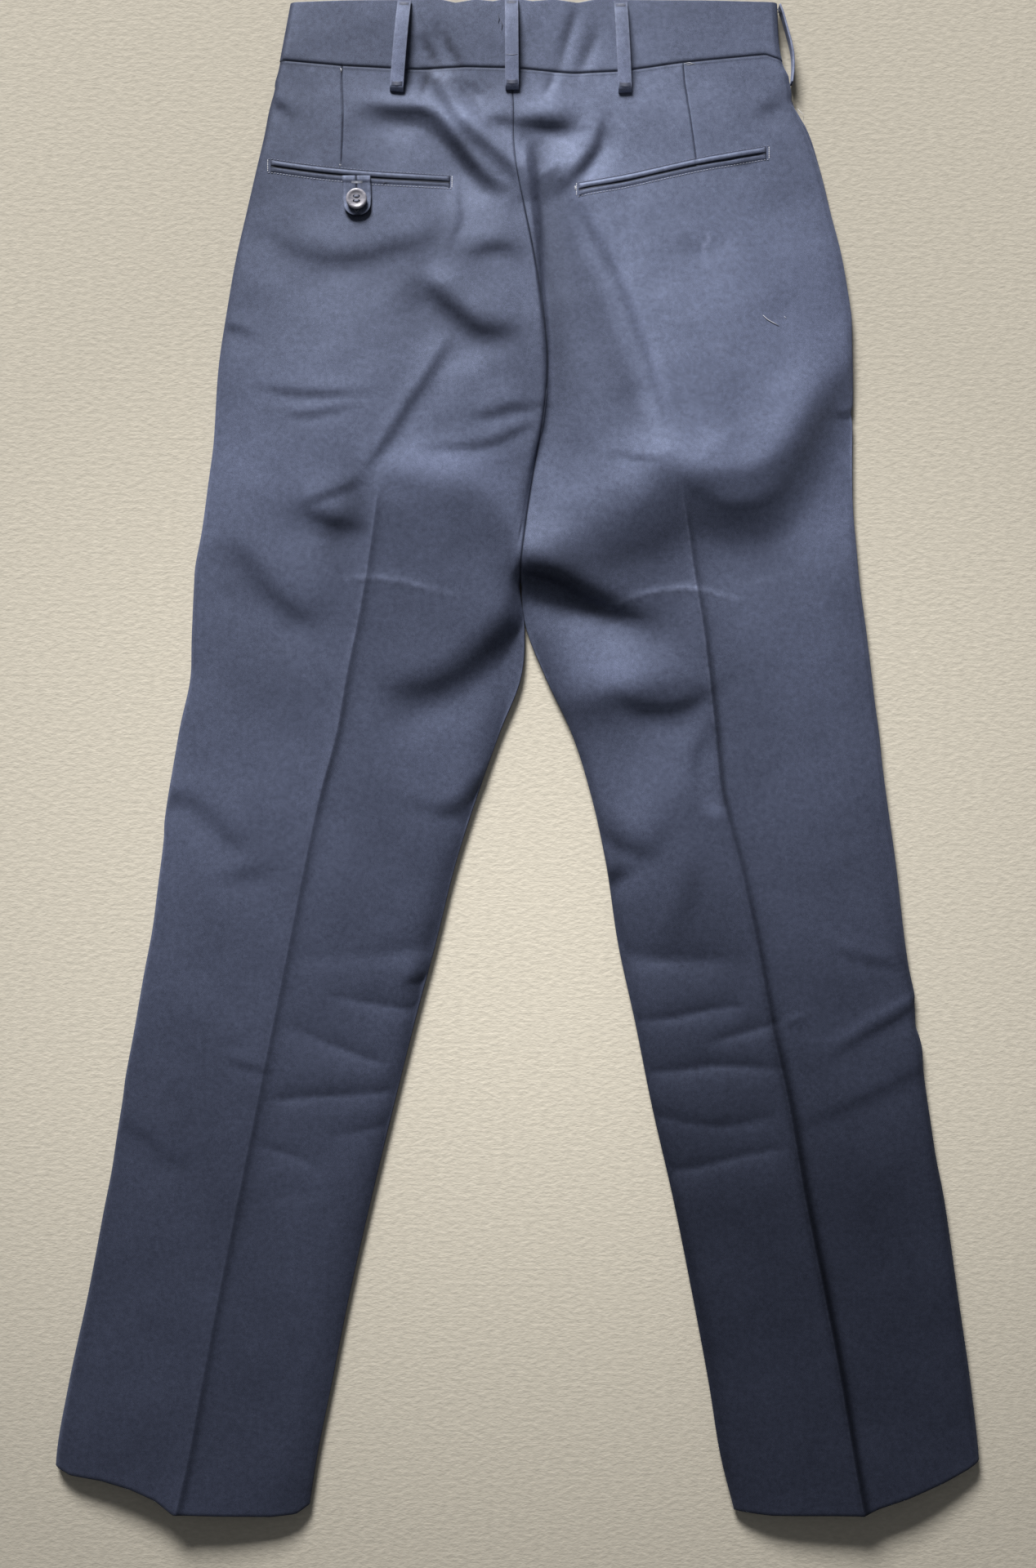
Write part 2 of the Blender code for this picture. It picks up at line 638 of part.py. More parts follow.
def button(tree, finish, collection, helpers):
    """A turned four-hole button, flat on the tab."""
    mesh = bpy.data.meshes.new("pocket_left_button")
    shape = bmesh.new()
    profile = [shape.verts.new((out, 0, up)) for out, up in button_profile()]
    for first, second in zip(profile, profile[1:]):
        shape.edges.new((first, second))
    steps = 28
    bmesh.ops.spin(
        shape,
        geom=shape.verts[:] + shape.edges[:],
        axis=(0, 0, 1),
        cent=(0, 0, 0),
        steps=steps,
        angle=2 * math.pi,
        use_merge=True,
    )
    bmesh.ops.remove_doubles(shape, verts=shape.verts, dist=1e-6)
    bmesh.ops.recalc_face_normals(shape, faces=shape.faces)
    shape.to_mesh(mesh)
    shape.free()
    mesh.shade_smooth()
    mesh.materials.append(finish)
    obj = bpy.data.objects.new("pocket_left_button", mesh)
    collection.objects.link(obj)
    down = mouth_down(LEFT_MOUTH, TAB_ACROSS) + BUTTON_BELOW_MOUTH
    across = TAB_ACROSS + TAB_LEAN * BUTTON_BELOW_MOUTH
    ground = max(
        top_of([tree], across + side_x, down + side_y)
        for side_x in (-5, 0, 5)
        for side_y in (-5, 0, 5)
    )
    seat = place(across, down, ground + SEAM_GAP / MM)
    obj.location = seat
    hole_offset, hole_radius = 0.0017, 0.0009
    for index, (side_x, side_y) in enumerate([(-1, -1), (1, -1), (-1, 1), (1, 1)]):
        bpy.ops.mesh.primitive_cylinder_add(
            vertices=10,
            radius=hole_radius,
            depth=4 * BUTTON_THICKNESS,
            location=(seat[0] + side_x * hole_offset, seat[1] + side_y * hole_offset, seat[2]),
        )
        cutter = bpy.context.object
        cutter.name = f"button_hole_{index}"
        cutter.hide_render = True
        cutter.display_type = "WIRE"
        for owner in list(cutter.users_collection):
            owner.objects.unlink(cutter)
        helpers.objects.link(cutter)
        cut = obj.modifiers.new(f"Hole {index}", "BOOLEAN")
        cut.operation = "DIFFERENCE"
        cut.object = cutter
    return obj


def pocket_edge(leg, finish, collection):
    """The rounded fold of the front panel that shows beside the right side pocket."""
    curve = bpy.data.curves.new("side_pocket_edge_right", "CURVE")
    curve.dimensions = "3D"
    curve.bevel_depth = SIDE_POCKET_FOLD_RADIUS
    curve.bevel_resolution = 2
    curve.use_fill_caps = True
    downs = np.linspace(SIDE_POCKET_FROM, SIDE_POCKET_TO, 7)
    clear = (SIDE_POCKET_FOLD_RADIUS + 0.5 * PANEL_WALL + 2 * SEAM_GAP) / MM
    across = curve_through(leg.sections, "down", "outseam", downs) + clear
    spline = curve.splines.new("POLY")
    spline.points.add(len(downs) - 1)
    for point, x, down in zip(spline.points, across, downs):
        point.co = (*place(x, down, SIDE_POCKET_HEIGHT / MM), 1)
        from_middle = abs(2 * (down - SIDE_POCKET_FROM) / (SIDE_POCKET_TO - SIDE_POCKET_FROM) - 1)
        point.radius = 1 - 0.5 * from_middle**2
    curve.materials.append(finish)
    obj = bpy.data.objects.new("side_pocket_edge_right", curve)
    collection.objects.link(obj)
    return obj


def fly_underlap(finish, collection):
    """The strip behind the front opening, on the two front panels."""
    wall = PANEL_WALL / MM
    made = []
    for down, left, right in [(58, -36, 6), (80, -36, 6), (130, -36, 6), (200, -26, 16), (250, -8, 24)]:
        lift = float(straight_through(HEIGHTS, "down", "front_lift", down))
        height = lift + 1.5 * wall + 2 * SEAM_GAP / MM
        made.append([place(across, down, height) for across in (left, right)])
    return sheet_object("fly_underlap", np.array(made), PANEL_WALL, finish, collection)


def build():
    clear_scene()
    trousers = new_collection("dress_trousers")
    helpers = new_collection("dress_trousers_cutters", helper=True)
    serge = material("navy_serge", NAVY, 0.85)
    band = material("navy_serge_band", NAVY, 0.8)
    strap = material("navy_serge_strap", NAVY_STRAP, 0.75)
    horn = material("navy_button", NAVY_HORN, 0.35)

    legs = {
        "left": Leg("left", LEFT_SECTIONS, LEFT_WAIST_SEAM, LEFT_HEM, LEFT_CREASE_STARTS),
        "right": Leg("right", RIGHT_SECTIONS, RIGHT_WAIST_SEAM, RIGHT_HEM, RIGHT_CREASE_STARTS),
    }
    seat_rows = np.linspace(WAIST_SEAM_DOWN, CROTCH_DOWN, 24)
    leg_rows = np.linspace(CROTCH_DOWN, LENGTH / MM, 20)[1:]
    back_rows = np.concatenate([seat_rows, leg_rows])
    front_rows = np.concatenate([seat_rows[:6], seat_rows[7::2], leg_rows[2::2]])
    waist_gap = 0.5 * SEAM_GAP / MM

    trees = {}
    for side, leg in legs.items():
        back = back_panel_points(leg, back_rows, (7, 8), waist_gap)
        panel = sheet_object(f"back_{side}", back, PANEL_WALL, serge, trousers)
        front = front_panel_points(leg, front_rows, (2, 2), waist_gap)
        sheet_object(f"front_{side}", front, PANEL_WALL, serge, trousers)
        upper = band_points(leg, True, (0, 0.33, 0.67, 1), (7, 8))
        upper_band = sheet_object(f"waistband_back_{side}", upper, BAND_WALL, band, trousers)
        lower = band_points(leg, False, (0, 0.5, 1), (2, 2))
        sheet_object(f"waistband_front_{side}", lower, BAND_WALL, band, trousers)
        trees[side] = [surface_of(panel), surface_of(upper_band)]

    both = trees["left"] + trees["right"]
    for loop in BACK_LOOPS:
        back_loop(loop, both, strap, trousers)
    for loop in HIDDEN_LOOPS:
        hidden_loop(loop, strap, trousers)
    side_loop(strap, trousers)

    height = POCKET_WELT_HEIGHT / MM
    lower_welt = None
    for side, mouth in (("left", LEFT_MOUTH), ("right", RIGHT_MOUTH)):
        on = trees[side][:1]
        welt(f"pocket_{side}_welt_upper", mouth, 0.2, 0.2 + height, on, strap, trousers)
        lower = welt(f"pocket_{side}_welt_lower", mouth, -0.2 - height, -0.2, on, strap, trousers)
        lower_welt = lower_welt or lower
    tab = pocket_tab([trees["left"][0], surface_of(lower_welt)], strap, trousers)
    button(surface_of(tab), horn, trousers, helpers)
    pocket_edge(legs["right"], serge, trousers)
    fly_underlap(serge, trousers)


build()
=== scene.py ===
"""Navy serge dress trousers, laid flat with the back up: cloth, sewing, light and camera.

"Across" is millimetres towards the wearer's right, from the middle. "Down" is millimetres from
the top edge of the waistband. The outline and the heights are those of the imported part. The main
folds lie where its folds lie, with heights and widths set again by the light in the photograph,
and the knees' breaks are among the finer folds. So each shell stays close to its solid.
"""

import math
from collections import namedtuple

import bmesh
import bpy
import numpy as np
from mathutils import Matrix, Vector
from mathutils.bvhtree import BVHTree


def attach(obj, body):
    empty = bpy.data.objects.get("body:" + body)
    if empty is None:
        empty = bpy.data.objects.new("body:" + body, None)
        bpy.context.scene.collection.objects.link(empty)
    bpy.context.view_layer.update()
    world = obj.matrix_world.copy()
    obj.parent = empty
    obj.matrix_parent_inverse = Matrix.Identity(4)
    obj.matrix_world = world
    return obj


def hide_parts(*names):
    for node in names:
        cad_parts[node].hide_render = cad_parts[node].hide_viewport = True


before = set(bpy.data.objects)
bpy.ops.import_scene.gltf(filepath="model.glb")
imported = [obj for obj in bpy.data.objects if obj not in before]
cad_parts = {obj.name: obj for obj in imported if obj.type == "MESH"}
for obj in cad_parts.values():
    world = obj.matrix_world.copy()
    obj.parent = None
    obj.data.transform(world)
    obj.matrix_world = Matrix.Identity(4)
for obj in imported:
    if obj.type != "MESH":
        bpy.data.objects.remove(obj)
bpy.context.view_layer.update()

# Driving dimensions, in metres
MM = 0.001
LENGTH = 1.124
PANEL_WALL = 0.0012
PANEL_CLOTH = 0.0010
BAND_WALL = 0.0020
STRAP_WALL = 0.0016
SEAM_GAP = 0.0003
LIP = 0.0005
EDGE_RADIUS = 0.0045
FRONT_EDGE_RADIUS = 0.0018
LOOP_WIDTH = 0.0100
LOOP_LENGTH = 0.067
LOOP_ARCH = 0.0058
BUTTON_DIAMETER = 0.0155
BUTTON_THICKNESS = 0.0030
HEM_TURN_UP = 0.038

# The middle of the back cloth is nowhere under this level, clear of the front cloth, in millimetres
LOWEST_BACK = 3.2
# The hem's fold, in millimetres
HEM_FOLD_RADIUS = 0.9

# The camera looks straight down. The photograph is 1920 pixels high at 1650 pixels to the metre.
VIEW_HEIGHT = 1.1636
VIEW_ACROSS = 0.0003
VIEW_DOWN = 0.5818
CAMERA_HEIGHT = 1.40
CAMERA_LEVEL = 0.009
SENSOR = 36.0

CROTCH_DOWN = 467
SEAM_FALLS_FROM = 425
PARTS_BY = 6


def table(kind, *rows):
    return [kind(*row) for row in rows]


# Most of these rows were interpolated by a scratch script between points read off the photograph by
# eye, and some were then changed by hand
Section = namedtuple("Section", "down outseam crease inner")
LEFT_SECTIONS = table(
    Section,
    (0, -168, -99, -5), (45, -176, -99, -4), (62, -179, -100, -4), (80, -184, -100, -3),
    (100, -188, -101, -3), (125, -194, -103, -1), (155, -201, -104, 5), (190, -209, -105, 12),
    (230, -216, -105, 18), (270, -222, -104, 22), (310, -225, -103, 19), (350, -229, -101, 12),
    (390, -234, -106, 6), (430, -240, -112, 2), (467, -242, -119, 6), (500, -244, -126, 4),
    (545, -252, -134, -13), (590, -259, -146, -29), (640, -265, -157, -45), (700, -274, -169, -60),
    (760, -284, -181, -76), (820, -294, -193, -91), (890, -306, -207, -108), (960, -319, -221, -124),
    (1030, -334, -234, -138), (1085, -343, -244, -149), (1124, -343, -253, -155),
)
RIGHT_SECTIONS = table(
    Section,
    (0, 192, 95, -5), (45, 196, 95, -4), (62, 202, 95, -4), (80, 206, 96, -3), (100, 215, 97, -3),
    (125, 224, 98, -1), (155, 232, 100, 5), (190, 241, 102, 12), (230, 247, 105, 18),
    (270, 249, 108, 22), (310, 249, 113, 19), (350, 249, 118, 12), (390, 251, 125, 6),
    (430, 254, 131, 2), (467, 259, 137, 6), (500, 263, 141, 19), (545, 268, 146, 40),
    (590, 274, 151, 54), (640, 281, 164, 65), (700, 288, 177, 74), (760, 297, 188, 87),
    (820, 305, 201, 99), (890, 317, 213, 115), (960, 327, 227, 129), (1030, 337, 240, 142),
    (1085, 343, 249, 151), (1124, 345, 256, 161),
)

Height = namedtuple("Height", "down front_lift side_seam edge middle centre")
HEIGHTS = table(
    Height,
    (0, 1.5, 5.0, 9.0, 12.0, 12.0), (60, 1.5, 5.0, 9.0, 12.0, 12.5), (80, 1.5, 4.6, 8.6, 13.2, 13.5),
    (130, 0.0, 3.3, 7.5, 15.0, 16.0), (200, 0.0, 3.0, 7.0, 18.0, 18.0),
    (300, 0.0, 3.0, 7.0, 24.0, 18.0), (360, 0.0, 3.0, 7.0, 23.0, 15.0),
    (420, 0.0, 3.0, 6.8, 18.0, 12.0), (470, 0.0, 3.0, 6.6, 15.0, 7.0), (560, 0.0, 3.0, 6.5, 13.0, 6.5),
    (700, 0.0, 3.0, 6.4, 11.0, 6.4), (900, 0.0, 3.0, 6.4, 11.0, 6.4), (1040, 0.0, 3.0, 6.6, 12.5, 6.6),
    (1124, 0.0, 3.2, 7.6, 15.0, 7.6),
)

Offset = namedtuple("Offset", "share down")
WAIST_SEAM_DOWN = 50
LEFT_WAIST_SEAM = table(Offset, (0, -5), (0.27, 0), (0.6, 3), (0.8, 1), (1, 2))
RIGHT_WAIST_SEAM = table(
    Offset,
    (0, -5), (0.06, -9), (0.2, -6), (0.38, -2), (0.58, 4), (0.78, 6), (1, 2),
)
FRONT_WAIST_SEAM = table(Offset, (0, -5), (1, 2))
LEFT_HEM = table(
    Offset,
    (0, -36), (0.06, -30), (0.18, -27), (0.3, -21), (0.4, -13), (0.47, -3), (0.6, -2), (0.85, 0),
    (0.95, -1), (1, -7),
)
RIGHT_HEM = table(
    Offset,
    (0, -40), (0.05, -34), (0.15, -25), (0.3, -14), (0.42, -7), (0.48, -2), (0.6, -2), (0.85, -1),
    (1, -3),
)
FRONT_HEM_RISE = 14
TOP_EDGE = table(Offset, (0, 2), (0.5, 1.5), (0.68, 1), (0.75, 3.5), (0.84, 1), (0.92, 2.5), (1, 0))
WAIST_SLOPE_ENDS = 140
HEM_SLOPE_STARTS = 880

# A fold follows a smooth line through its points, each with its share of the height. Widths are
# those on the right and left hand of someone who walks along it. "Soft" is a rounded ridge (height
# over 0) or trough, "edge" is one with a sharp top, as a crease that lay folded, and "fall" is a
# slope that is higher on the left hand and lower on the right by twice the height.
Fold = namedtuple("Fold", "name kind height right left points")
FOLDS = [
    Fold("fall beside the seat seam", "fall", -1.9, 4.5, 6,
         [(8, 106, 0), (10, 122, 1), (13, 152, 1), (17, 212, 1), (21, 262, 1), (19, 315, 0.9),
          (11, 345, 0.7), (3, 388, 0.2)]),
    Fold("hollow along the right seat", "soft", -4.2, 24, 11,
         [(22, 130, 0), (33, 145, 0.8), (49, 172, 1), (66, 205, 1), (78, 235, 1), (89, 266, 1),
          (97, 296, 0.9), (104, 320, 0.5), (110, 338, 0)]),
    Fold("ridge beside that hollow", "soft", 0.9, 8, 9,
         [(44, 143, 0), (60, 172, 1), (77, 205, 1), (89, 235, 1), (100, 266, 1), (108, 296, 0.7),
          (115, 320, 0)]),
    Fold("ridge from the left loop to the seam", "soft", 3.5, 7, 12,
         [(-66, 50, 0), (-57, 62, 0.6), (-40, 90, 1), (-16, 112, 1), (1, 130, 0.8), (6, 152, 0)]),
    Fold("hollow under that ridge", "soft", -1.3, 30, 6,
         [(-125, 88, 0), (-92, 92, 0.7), (-64, 100, 0.9), (-42, 122, 1), (-24, 145, 0.7), (-8, 152, 0)]),
    Fold("fall under that ridge", "fall", 2.2, 12, 5,
         [(-118, 79, 0), (-92, 83, 0.6), (-66, 86, 0.9), (-48, 104, 1.1), (-33, 124, 1.2), (-16, 139, 0.5),
          (-4, 144, 0)]),
    Fold("bowl by the top of the seam", "soft", -1.7, 22, 11,
         [(2, 99, 0), (20, 101, 1), (34, 102, 1), (46, 105, 0)]),
    Fold("fall into the bowl", "fall", 1.6, 9, 8,
         [(-26, 90, 0), (-14, 91, 0.7), (0, 93, 0.5), (14, 93, 1.1), (28, 94, 1.1), (42, 96, 0.1)]),
    Fold("wall right of the bowl", "fall", -1.4, 6, 6,
         [(63, 84, 0), (62, 96, 0.5), (58, 110, 0.9), (49, 124, 1.2), (40, 134, 0.4), (34, 140, 0)]),
    Fold("hollow in the left seat", "soft", -0.8, 30, 16,
         [(-70, 222, 0), (-58, 240, 0.8), (-40, 256, 1), (-20, 262, 0.8), (0, 258, 0)]),
    Fold("fall into that hollow", "fall", 2.3, 13, 11,
         [(-72, 206, 0), (-61, 219, 0.9), (-46, 233, 1), (-28, 246, 1), (-10, 248, 0.5), (2, 246, 0)]),
    Fold("line under the left seat", "fall", -1.0, 4, 8,
         [(-50, 252, 0), (-58, 268, 0.7), (-80, 303, 1), (-100, 334, 0.9), (-114, 352, 0.1)]),
    Fold("lower edge of the right seat", "soft", 3.8, 14, 28,
         [(110, 345, 0.4), (151, 350, 1), (176, 346, 1), (196, 328, 1), (216, 296, 0.8), (240, 264, 0)]),
    Fold("hollow under the right seat", "soft", -2.2, 44, 18,
         [(108, 392, 0), (134, 404, 0.9), (164, 408, 1), (196, 400, 1), (230, 358, 0.8), (248, 316, 0.3),
          (252, 300, 0)]),
    Fold("fall under the right seat", "fall", 2.8, 26, 14,
         [(112, 352, 0), (128, 364, 0.8), (158, 378, 1), (184, 372, 1), (210, 340, 1), (228, 308, 0.9),
          (248, 272, 0.5)]),
    Fold("ridge over the crotch", "soft", 5, 27, 34,
         [(-6, 406, 0), (8, 404, 0.2), (30, 400, 0.8), (58, 392, 1), (90, 376, 0.9), (118, 358, 0.3)]),
    Fold("deep fold at the crotch", "soft", -4.6, 24, 13,
         [(-6, 444, 0), (6, 446, 1), (34, 452, 1), (68, 460, 0.8), (98, 469, 0.3), (114, 476, 0)]),
    Fold("fall into that fold", "fall", 5.5, 8, 13,
         [(-4, 424, 0), (6, 425, 1), (26, 430, 1), (52, 443, 0.7), (80, 455, 0.3), (100, 462, 0)]),
    Fold("bulge under the crotch", "soft", 3.4, 14, 34,
         [(20, 512, 0), (40, 518, 0.6), (66, 514, 0.9), (100, 506, 1), (128, 502, 0.8), (144, 500, 0.1)]),
    Fold("hollow under that bulge", "soft", -2.4, 34, 12,
         [(62, 516, 0), (92, 538, 1), (120, 540, 1), (142, 530, 0)]),
    Fold("fall under that bulge", "fall", 1.4, 8, 6,
         [(66, 514, 0), (96, 524, 0.9), (124, 522, 1), (144, 512, 0.1)]),
    Fold("patch on the left thigh", "fall", 1.8, 12, 9,
         [(-164, 374, 0), (-148, 384, 1), (-130, 390, 1), (-116, 392, 0.4), (-108, 394, 0)]),
    Fold("hollow from the crotch to the left", "soft", -2.6, 13, 30,
         [(6, 488, 0), (-4, 492, 1), (-24, 504, 1), (-48, 520, 0.8), (-76, 530, 0.6), (-98, 530, 0)]),
    Fold("fall from the crotch to the left", "fall", -3.4, 18, 12,
         [(8, 463, 0), (-2, 466, 1.2), (-16, 476, 1), (-34, 492, 0.6), (-56, 506, 0.6), (-78, 512, 0.5),
          (-104, 510, 0)]),
    Fold("valley on the left hip", "fall", 1.8, 14, 13,
         [(-222, 396, 0), (-200, 416, 0.7), (-182, 440, 1), (-162, 456, 0.8), (-144, 464, 0)]),
    Fold("hollow under the left pocket", "fall", 1.0, 14, 13,
         [(-206, 162, 0), (-178, 178, 0.5), (-150, 192, 0.9), (-124, 194, 1), (-92, 187, 1),
          (-66, 180, 0.5), (-52, 172, 0)]),
    Fold("left band gather", "soft", -0.8, 5, 5,
         [(-60, 16, 0), (-57, 30, 0.8), (-50, 44, 1), (-45, 52, 0.3)]),
    Fold("left band gather, outer", "soft", -0.8, 5, 5,
         [(-72, 26, 0), (-68, 36, 0.9), (-60, 48, 1), (-56, 54, 0.6)]),
    Fold("right band gather", "soft", -0.8, 5, 5, [(45, 2, 0.3), (42, 16, 1), (36, 34, 1), (31, 50, 0.4)]),
    Fold("right band gather, outer", "soft", -0.8, 5, 5,
         [(62, 16, 0), (56, 32, 0.8), (50, 46, 1), (47, 54, 0.6)]),
    Fold("puckers under the left loop", "soft", -0.8, 3, 3, [(-66, 54, 1), (-67, 64, 0.8), (-69, 74, 0)]),
    Fold("pucker left of the middle", "soft", -0.9, 4, 4, [(-46, 58, 0), (-34, 70, 1), (-24, 76, 0)]),
    Fold("pucker right of the middle", "soft", -0.7, 3, 3, [(27, 56, 0.8), (24, 66, 1), (18, 74, 0)]),
]
# The finer folds, which only the cloth shows
FINE_FOLDS = [
    Fold("line under the left pocket", "fall", -0.5, 3, 5,
         [(-44, 141, 0.4), (-44, 167, 1), (-50, 186, 0.2)]),
    Fold("left seat dimple", "fall", 0.9, 9, 8, [(-38, 194, 0), (-24, 187, 1), (-10, 186, 1), (4, 194, 0)]),
    Fold("pulled to the seam, upper", "fall", 0.8, 5, 6,
         [(-36, 311, 0), (-22, 310, 0.8), (-4, 305, 1), (12, 303, 0.4)]),
    Fold("pulled to the seam, lower", "fall", 0.6, 4, 5,
         [(-74, 336, 0), (-48, 334, 0.6), (-20, 331, 1), (4, 320, 0.9), (14, 316, 0)]),
    Fold("bulge by the crotch, left", "soft", 2.6, 25, 26,
         [(-104, 350, 0.2), (-70, 358, 0.8), (-40, 366, 1), (-16, 382, 1), (0, 400, 0.8)]),
    Fold("left seat line across", "fall", 0.5, 4, 5,
         [(-196, 286, 0), (-170, 293, 1), (-140, 295, 1), (-100, 294, 0)]),
    Fold("left seat line across, lower", "fall", 0.5, 4, 4,
         [(-172, 309, 0), (-155, 310, 1), (-130, 306, 0.6), (-110, 304, 0)]),
    Fold("left hip dents", "fall", 0.6, 5, 5, [(-226, 238, 0), (-212, 243, 1), (-192, 252, 0)]),
    Fold("left thigh line", "fall", 0.65, 4, 6,
         [(-160, 378, 0), (-148, 373, 1), (-124, 364, 0.8), (-108, 358, 0)]),
    Fold("left thigh dent", "soft", -0.8, 9, 9, [(-97, 356, 0), (-86, 366, 1), (-70, 372, 0)]),
    Fold("dent by the left hip", "fall", 0.8, 6, 6, [(-184, 72, 0), (-176, 78, 1), (-166, 88, 0)]),
    Fold("right hip dent", "fall", 0.7, 7, 7, [(176, 84, 0), (186, 80, 1), (198, 74, 0)]),
    Fold("dent right of the dart", "fall", 0.5, 6, 6, [(150, 116, 0), (164, 122, 1), (180, 118, 0)]),
    Fold("right seat dimple", "soft", -0.7, 9, 9,
         [(122, 180, 0), (134, 190, 1), (150, 182, 0.6), (160, 170, 0)]),
    Fold("right seat dimple, outer", "soft", -0.6, 8, 8, [(184, 214, 0), (196, 232, 1), (200, 250, 0)]),
    Fold("nick at the right outseam", "fall", 0.8, 3, 3, [(232, 309, 0), (243, 307, 1), (252, 306, 1)]),
    Fold("left outer fold over the knee", "fall", 1.0, 10, 12,
         [(-262, 592, 1), (-246, 594, 1), (-228, 606, 1), (-212, 622, 0.9), (-194, 634, 0)]),
    Fold("left outer fold, faint", "fall", 0.8, 9, 9, [(-222, 652, 0), (-200, 648, 1), (-176, 646, 0)]),
    Fold("left inner pinch", "fall", 1.6, 6, 8,
         [(-62, 604, 0), (-48, 600, 0.6), (-36, 592, 1), (-28, 582, 1)]),
    Fold("left inner fold", "fall", 0.9, 7, 7,
         [(-96, 590, 0), (-70, 598, 0.5), (-44, 604, 0.8), (-32, 604, 0.6)]),
    Fold("left knee, top", "edge", -1.6, 12, 11,
         [(-172, 711, 0), (-150, 711, 0.5), (-110, 709, 0.9), (-70, 704, 1.2)]),
    Fold("left knee pinch", "fall", 1.4, 7, 7,
         [(-88, 730, 0), (-78, 728, 0.8), (-68, 724, 1), (-62, 720, 1)]),
    Fold("left knee, first", "edge", -1.9, 8, 7,
         [(-150, 736, 0), (-128, 741, 0.6), (-106, 745, 1), (-78, 750, 1)]),
    Fold("left knee, second", "edge", -2.0, 9, 8,
         [(-176, 756, 0), (-150, 770, 0.7), (-128, 779, 1), (-108, 787, 1), (-96, 792, 0)]),
    Fold("left of the crease, first", "fall", 0.5, 4, 4,
         [(-222, 782, 0), (-204, 790, 1), (-188, 794, 0.5)]),
    Fold("left knee, third", "edge", -2.2, 10, 8,
         [(-188, 816, 0), (-170, 815, 1), (-138, 813, 1), (-98, 811, 0.8)]),
    Fold("left knee, fourth", "edge", -1.2, 8, 6, [(-142, 842, 0), (-118, 840, 1), (-92, 834, 1)]),
    Fold("left knee, fifth", "edge", -1.0, 5, 3.5,
         [(-198, 849, 0), (-180, 853, 1), (-160, 860, 1), (-142, 872, 0)]),
    Fold("left knee, sixth", "soft", -0.5, 3, 4, [(-192, 889, 0), (-160, 886, 1), (-122, 882, 0)]),
    Fold("left outer patch", "fall", 0.7, 9, 10,
         [(-298, 834, 0.5), (-278, 842, 1), (-258, 860, 0.9), (-240, 866, 0)]),
    Fold("right inner pinch", "fall", 2.0, 6, 16,
         [(58, 612, 0.5), (72, 624, 0.9), (90, 633, 1), (104, 638, 0)]),
    Fold("right inner pinch, lower", "fall", 1.4, 6, 9,
         [(60, 654, 1), (74, 650, 1), (88, 643, 0.4), (98, 638, 0)]),
    Fold("right thigh sweep", "fall", -0.9, 9, 9,
         [(146, 530, 0), (134, 556, 1), (130, 580, 0.8), (136, 606, 0)]),
    Fold("right knee, top", "edge", -3.0, 14, 12,
         [(76, 708, 0.8), (104, 711, 1), (136, 713, 1), (160, 713, 0.3), (178, 714, 0)]),
    Fold("right knee, first", "edge", -2.3, 8, 8,
         [(88, 758, 0.5), (112, 756, 1), (140, 750, 1), (160, 747, 0.8), (170, 746, 0)]),
    Fold("right knee, second", "edge", -2.0, 7, 6,
         [(136, 776, 0), (152, 771, 0.8), (172, 765, 1), (190, 760, 0.8), (204, 757, 0)]),
    Fold("right knee, third", "edge", -2.6, 9, 9,
         [(94, 797, 0.7), (124, 794, 1), (146, 791, 1), (176, 792, 0.9), (196, 793, 0.4)]),
    Fold("right knee, fourth", "edge", -1.8, 9, 7,
         [(102, 828, 0.8), (126, 833, 1), (152, 836, 1), (182, 830, 0.8), (196, 826, 0)]),
    Fold("right knee, fifth", "edge", -2.1, 8, 8,
         [(112, 870, 1), (136, 866, 1), (162, 859, 0.9), (186, 854, 0.7), (206, 850, 0)]),
    Fold("right crease pucker", "soft", 0.8, 3, 4, [(192, 762, 0.2), (202, 758, 1), (222, 752, 0)]),
    Fold("right outer knee streak", "fall", 0.9, 6, 7,
         [(226, 790, 0), (246, 776, 0.6), (266, 764, 0.9), (284, 754, 1), (298, 744, 1)]),
    Fold("right outer knee, above", "fall", 0.7, 4, 5,
         [(232, 704, 0), (250, 710, 1), (276, 716, 0.8), (292, 718, 0)]),
    Fold("right outer knee, lower", "fall", 0.8, 12, 9,
         [(200, 838, 0), (226, 828, 0.6), (258, 814, 1), (288, 800, 1), (304, 792, 1)]),
    Fold("right outer line", "soft", -0.35, 2.5, 2.5, [(172, 656, 0), (190, 661, 1), (216, 666, 0)]),
    Fold("bright end of the right crease", "soft", 0.4, 5, 5,
         [(148, 594, 0), (147, 602, 1), (149, 611, 0)]),
]
# Thin creases left by a hanger
SHARP_FOLDS = [
    Fold("left hanger crease", "edge", 0.65, 2.2, 2.4,
         [(-131, 432, 0.2), (-109, 430, 1), (-73, 436, 1), (-43, 444, 0.3)]),
    Fold("right hanger crease", "edge", 0.9, 2.4, 2.2,
         [(66, 452, 0.3), (93, 442, 0.8), (117, 438, 1), (131, 438, 1), (162, 447, 0.4)]),
    Fold("right hanger crease, outer end", "edge", 0.25, 2.2, 2.2,
         [(160, 435, 0.3), (176, 433, 1), (194, 430, 0.2)]),
]
REACH = {"soft": 2.6, "fall": 4.2, "edge": 5.0}
PATH_STEP = 6
PRESSED_CREASE_HEIGHT = 1.3
PRESSED_CREASE_WIDTH = 4.5
LEFT_CREASE_STARTS = 345
RIGHT_CREASE_STARTS = 350
# The cloth by each inseam falls away over this width, by this height
INSEAM_ROLL_WIDTH = 24
INSEAM_ROLL = 2.6

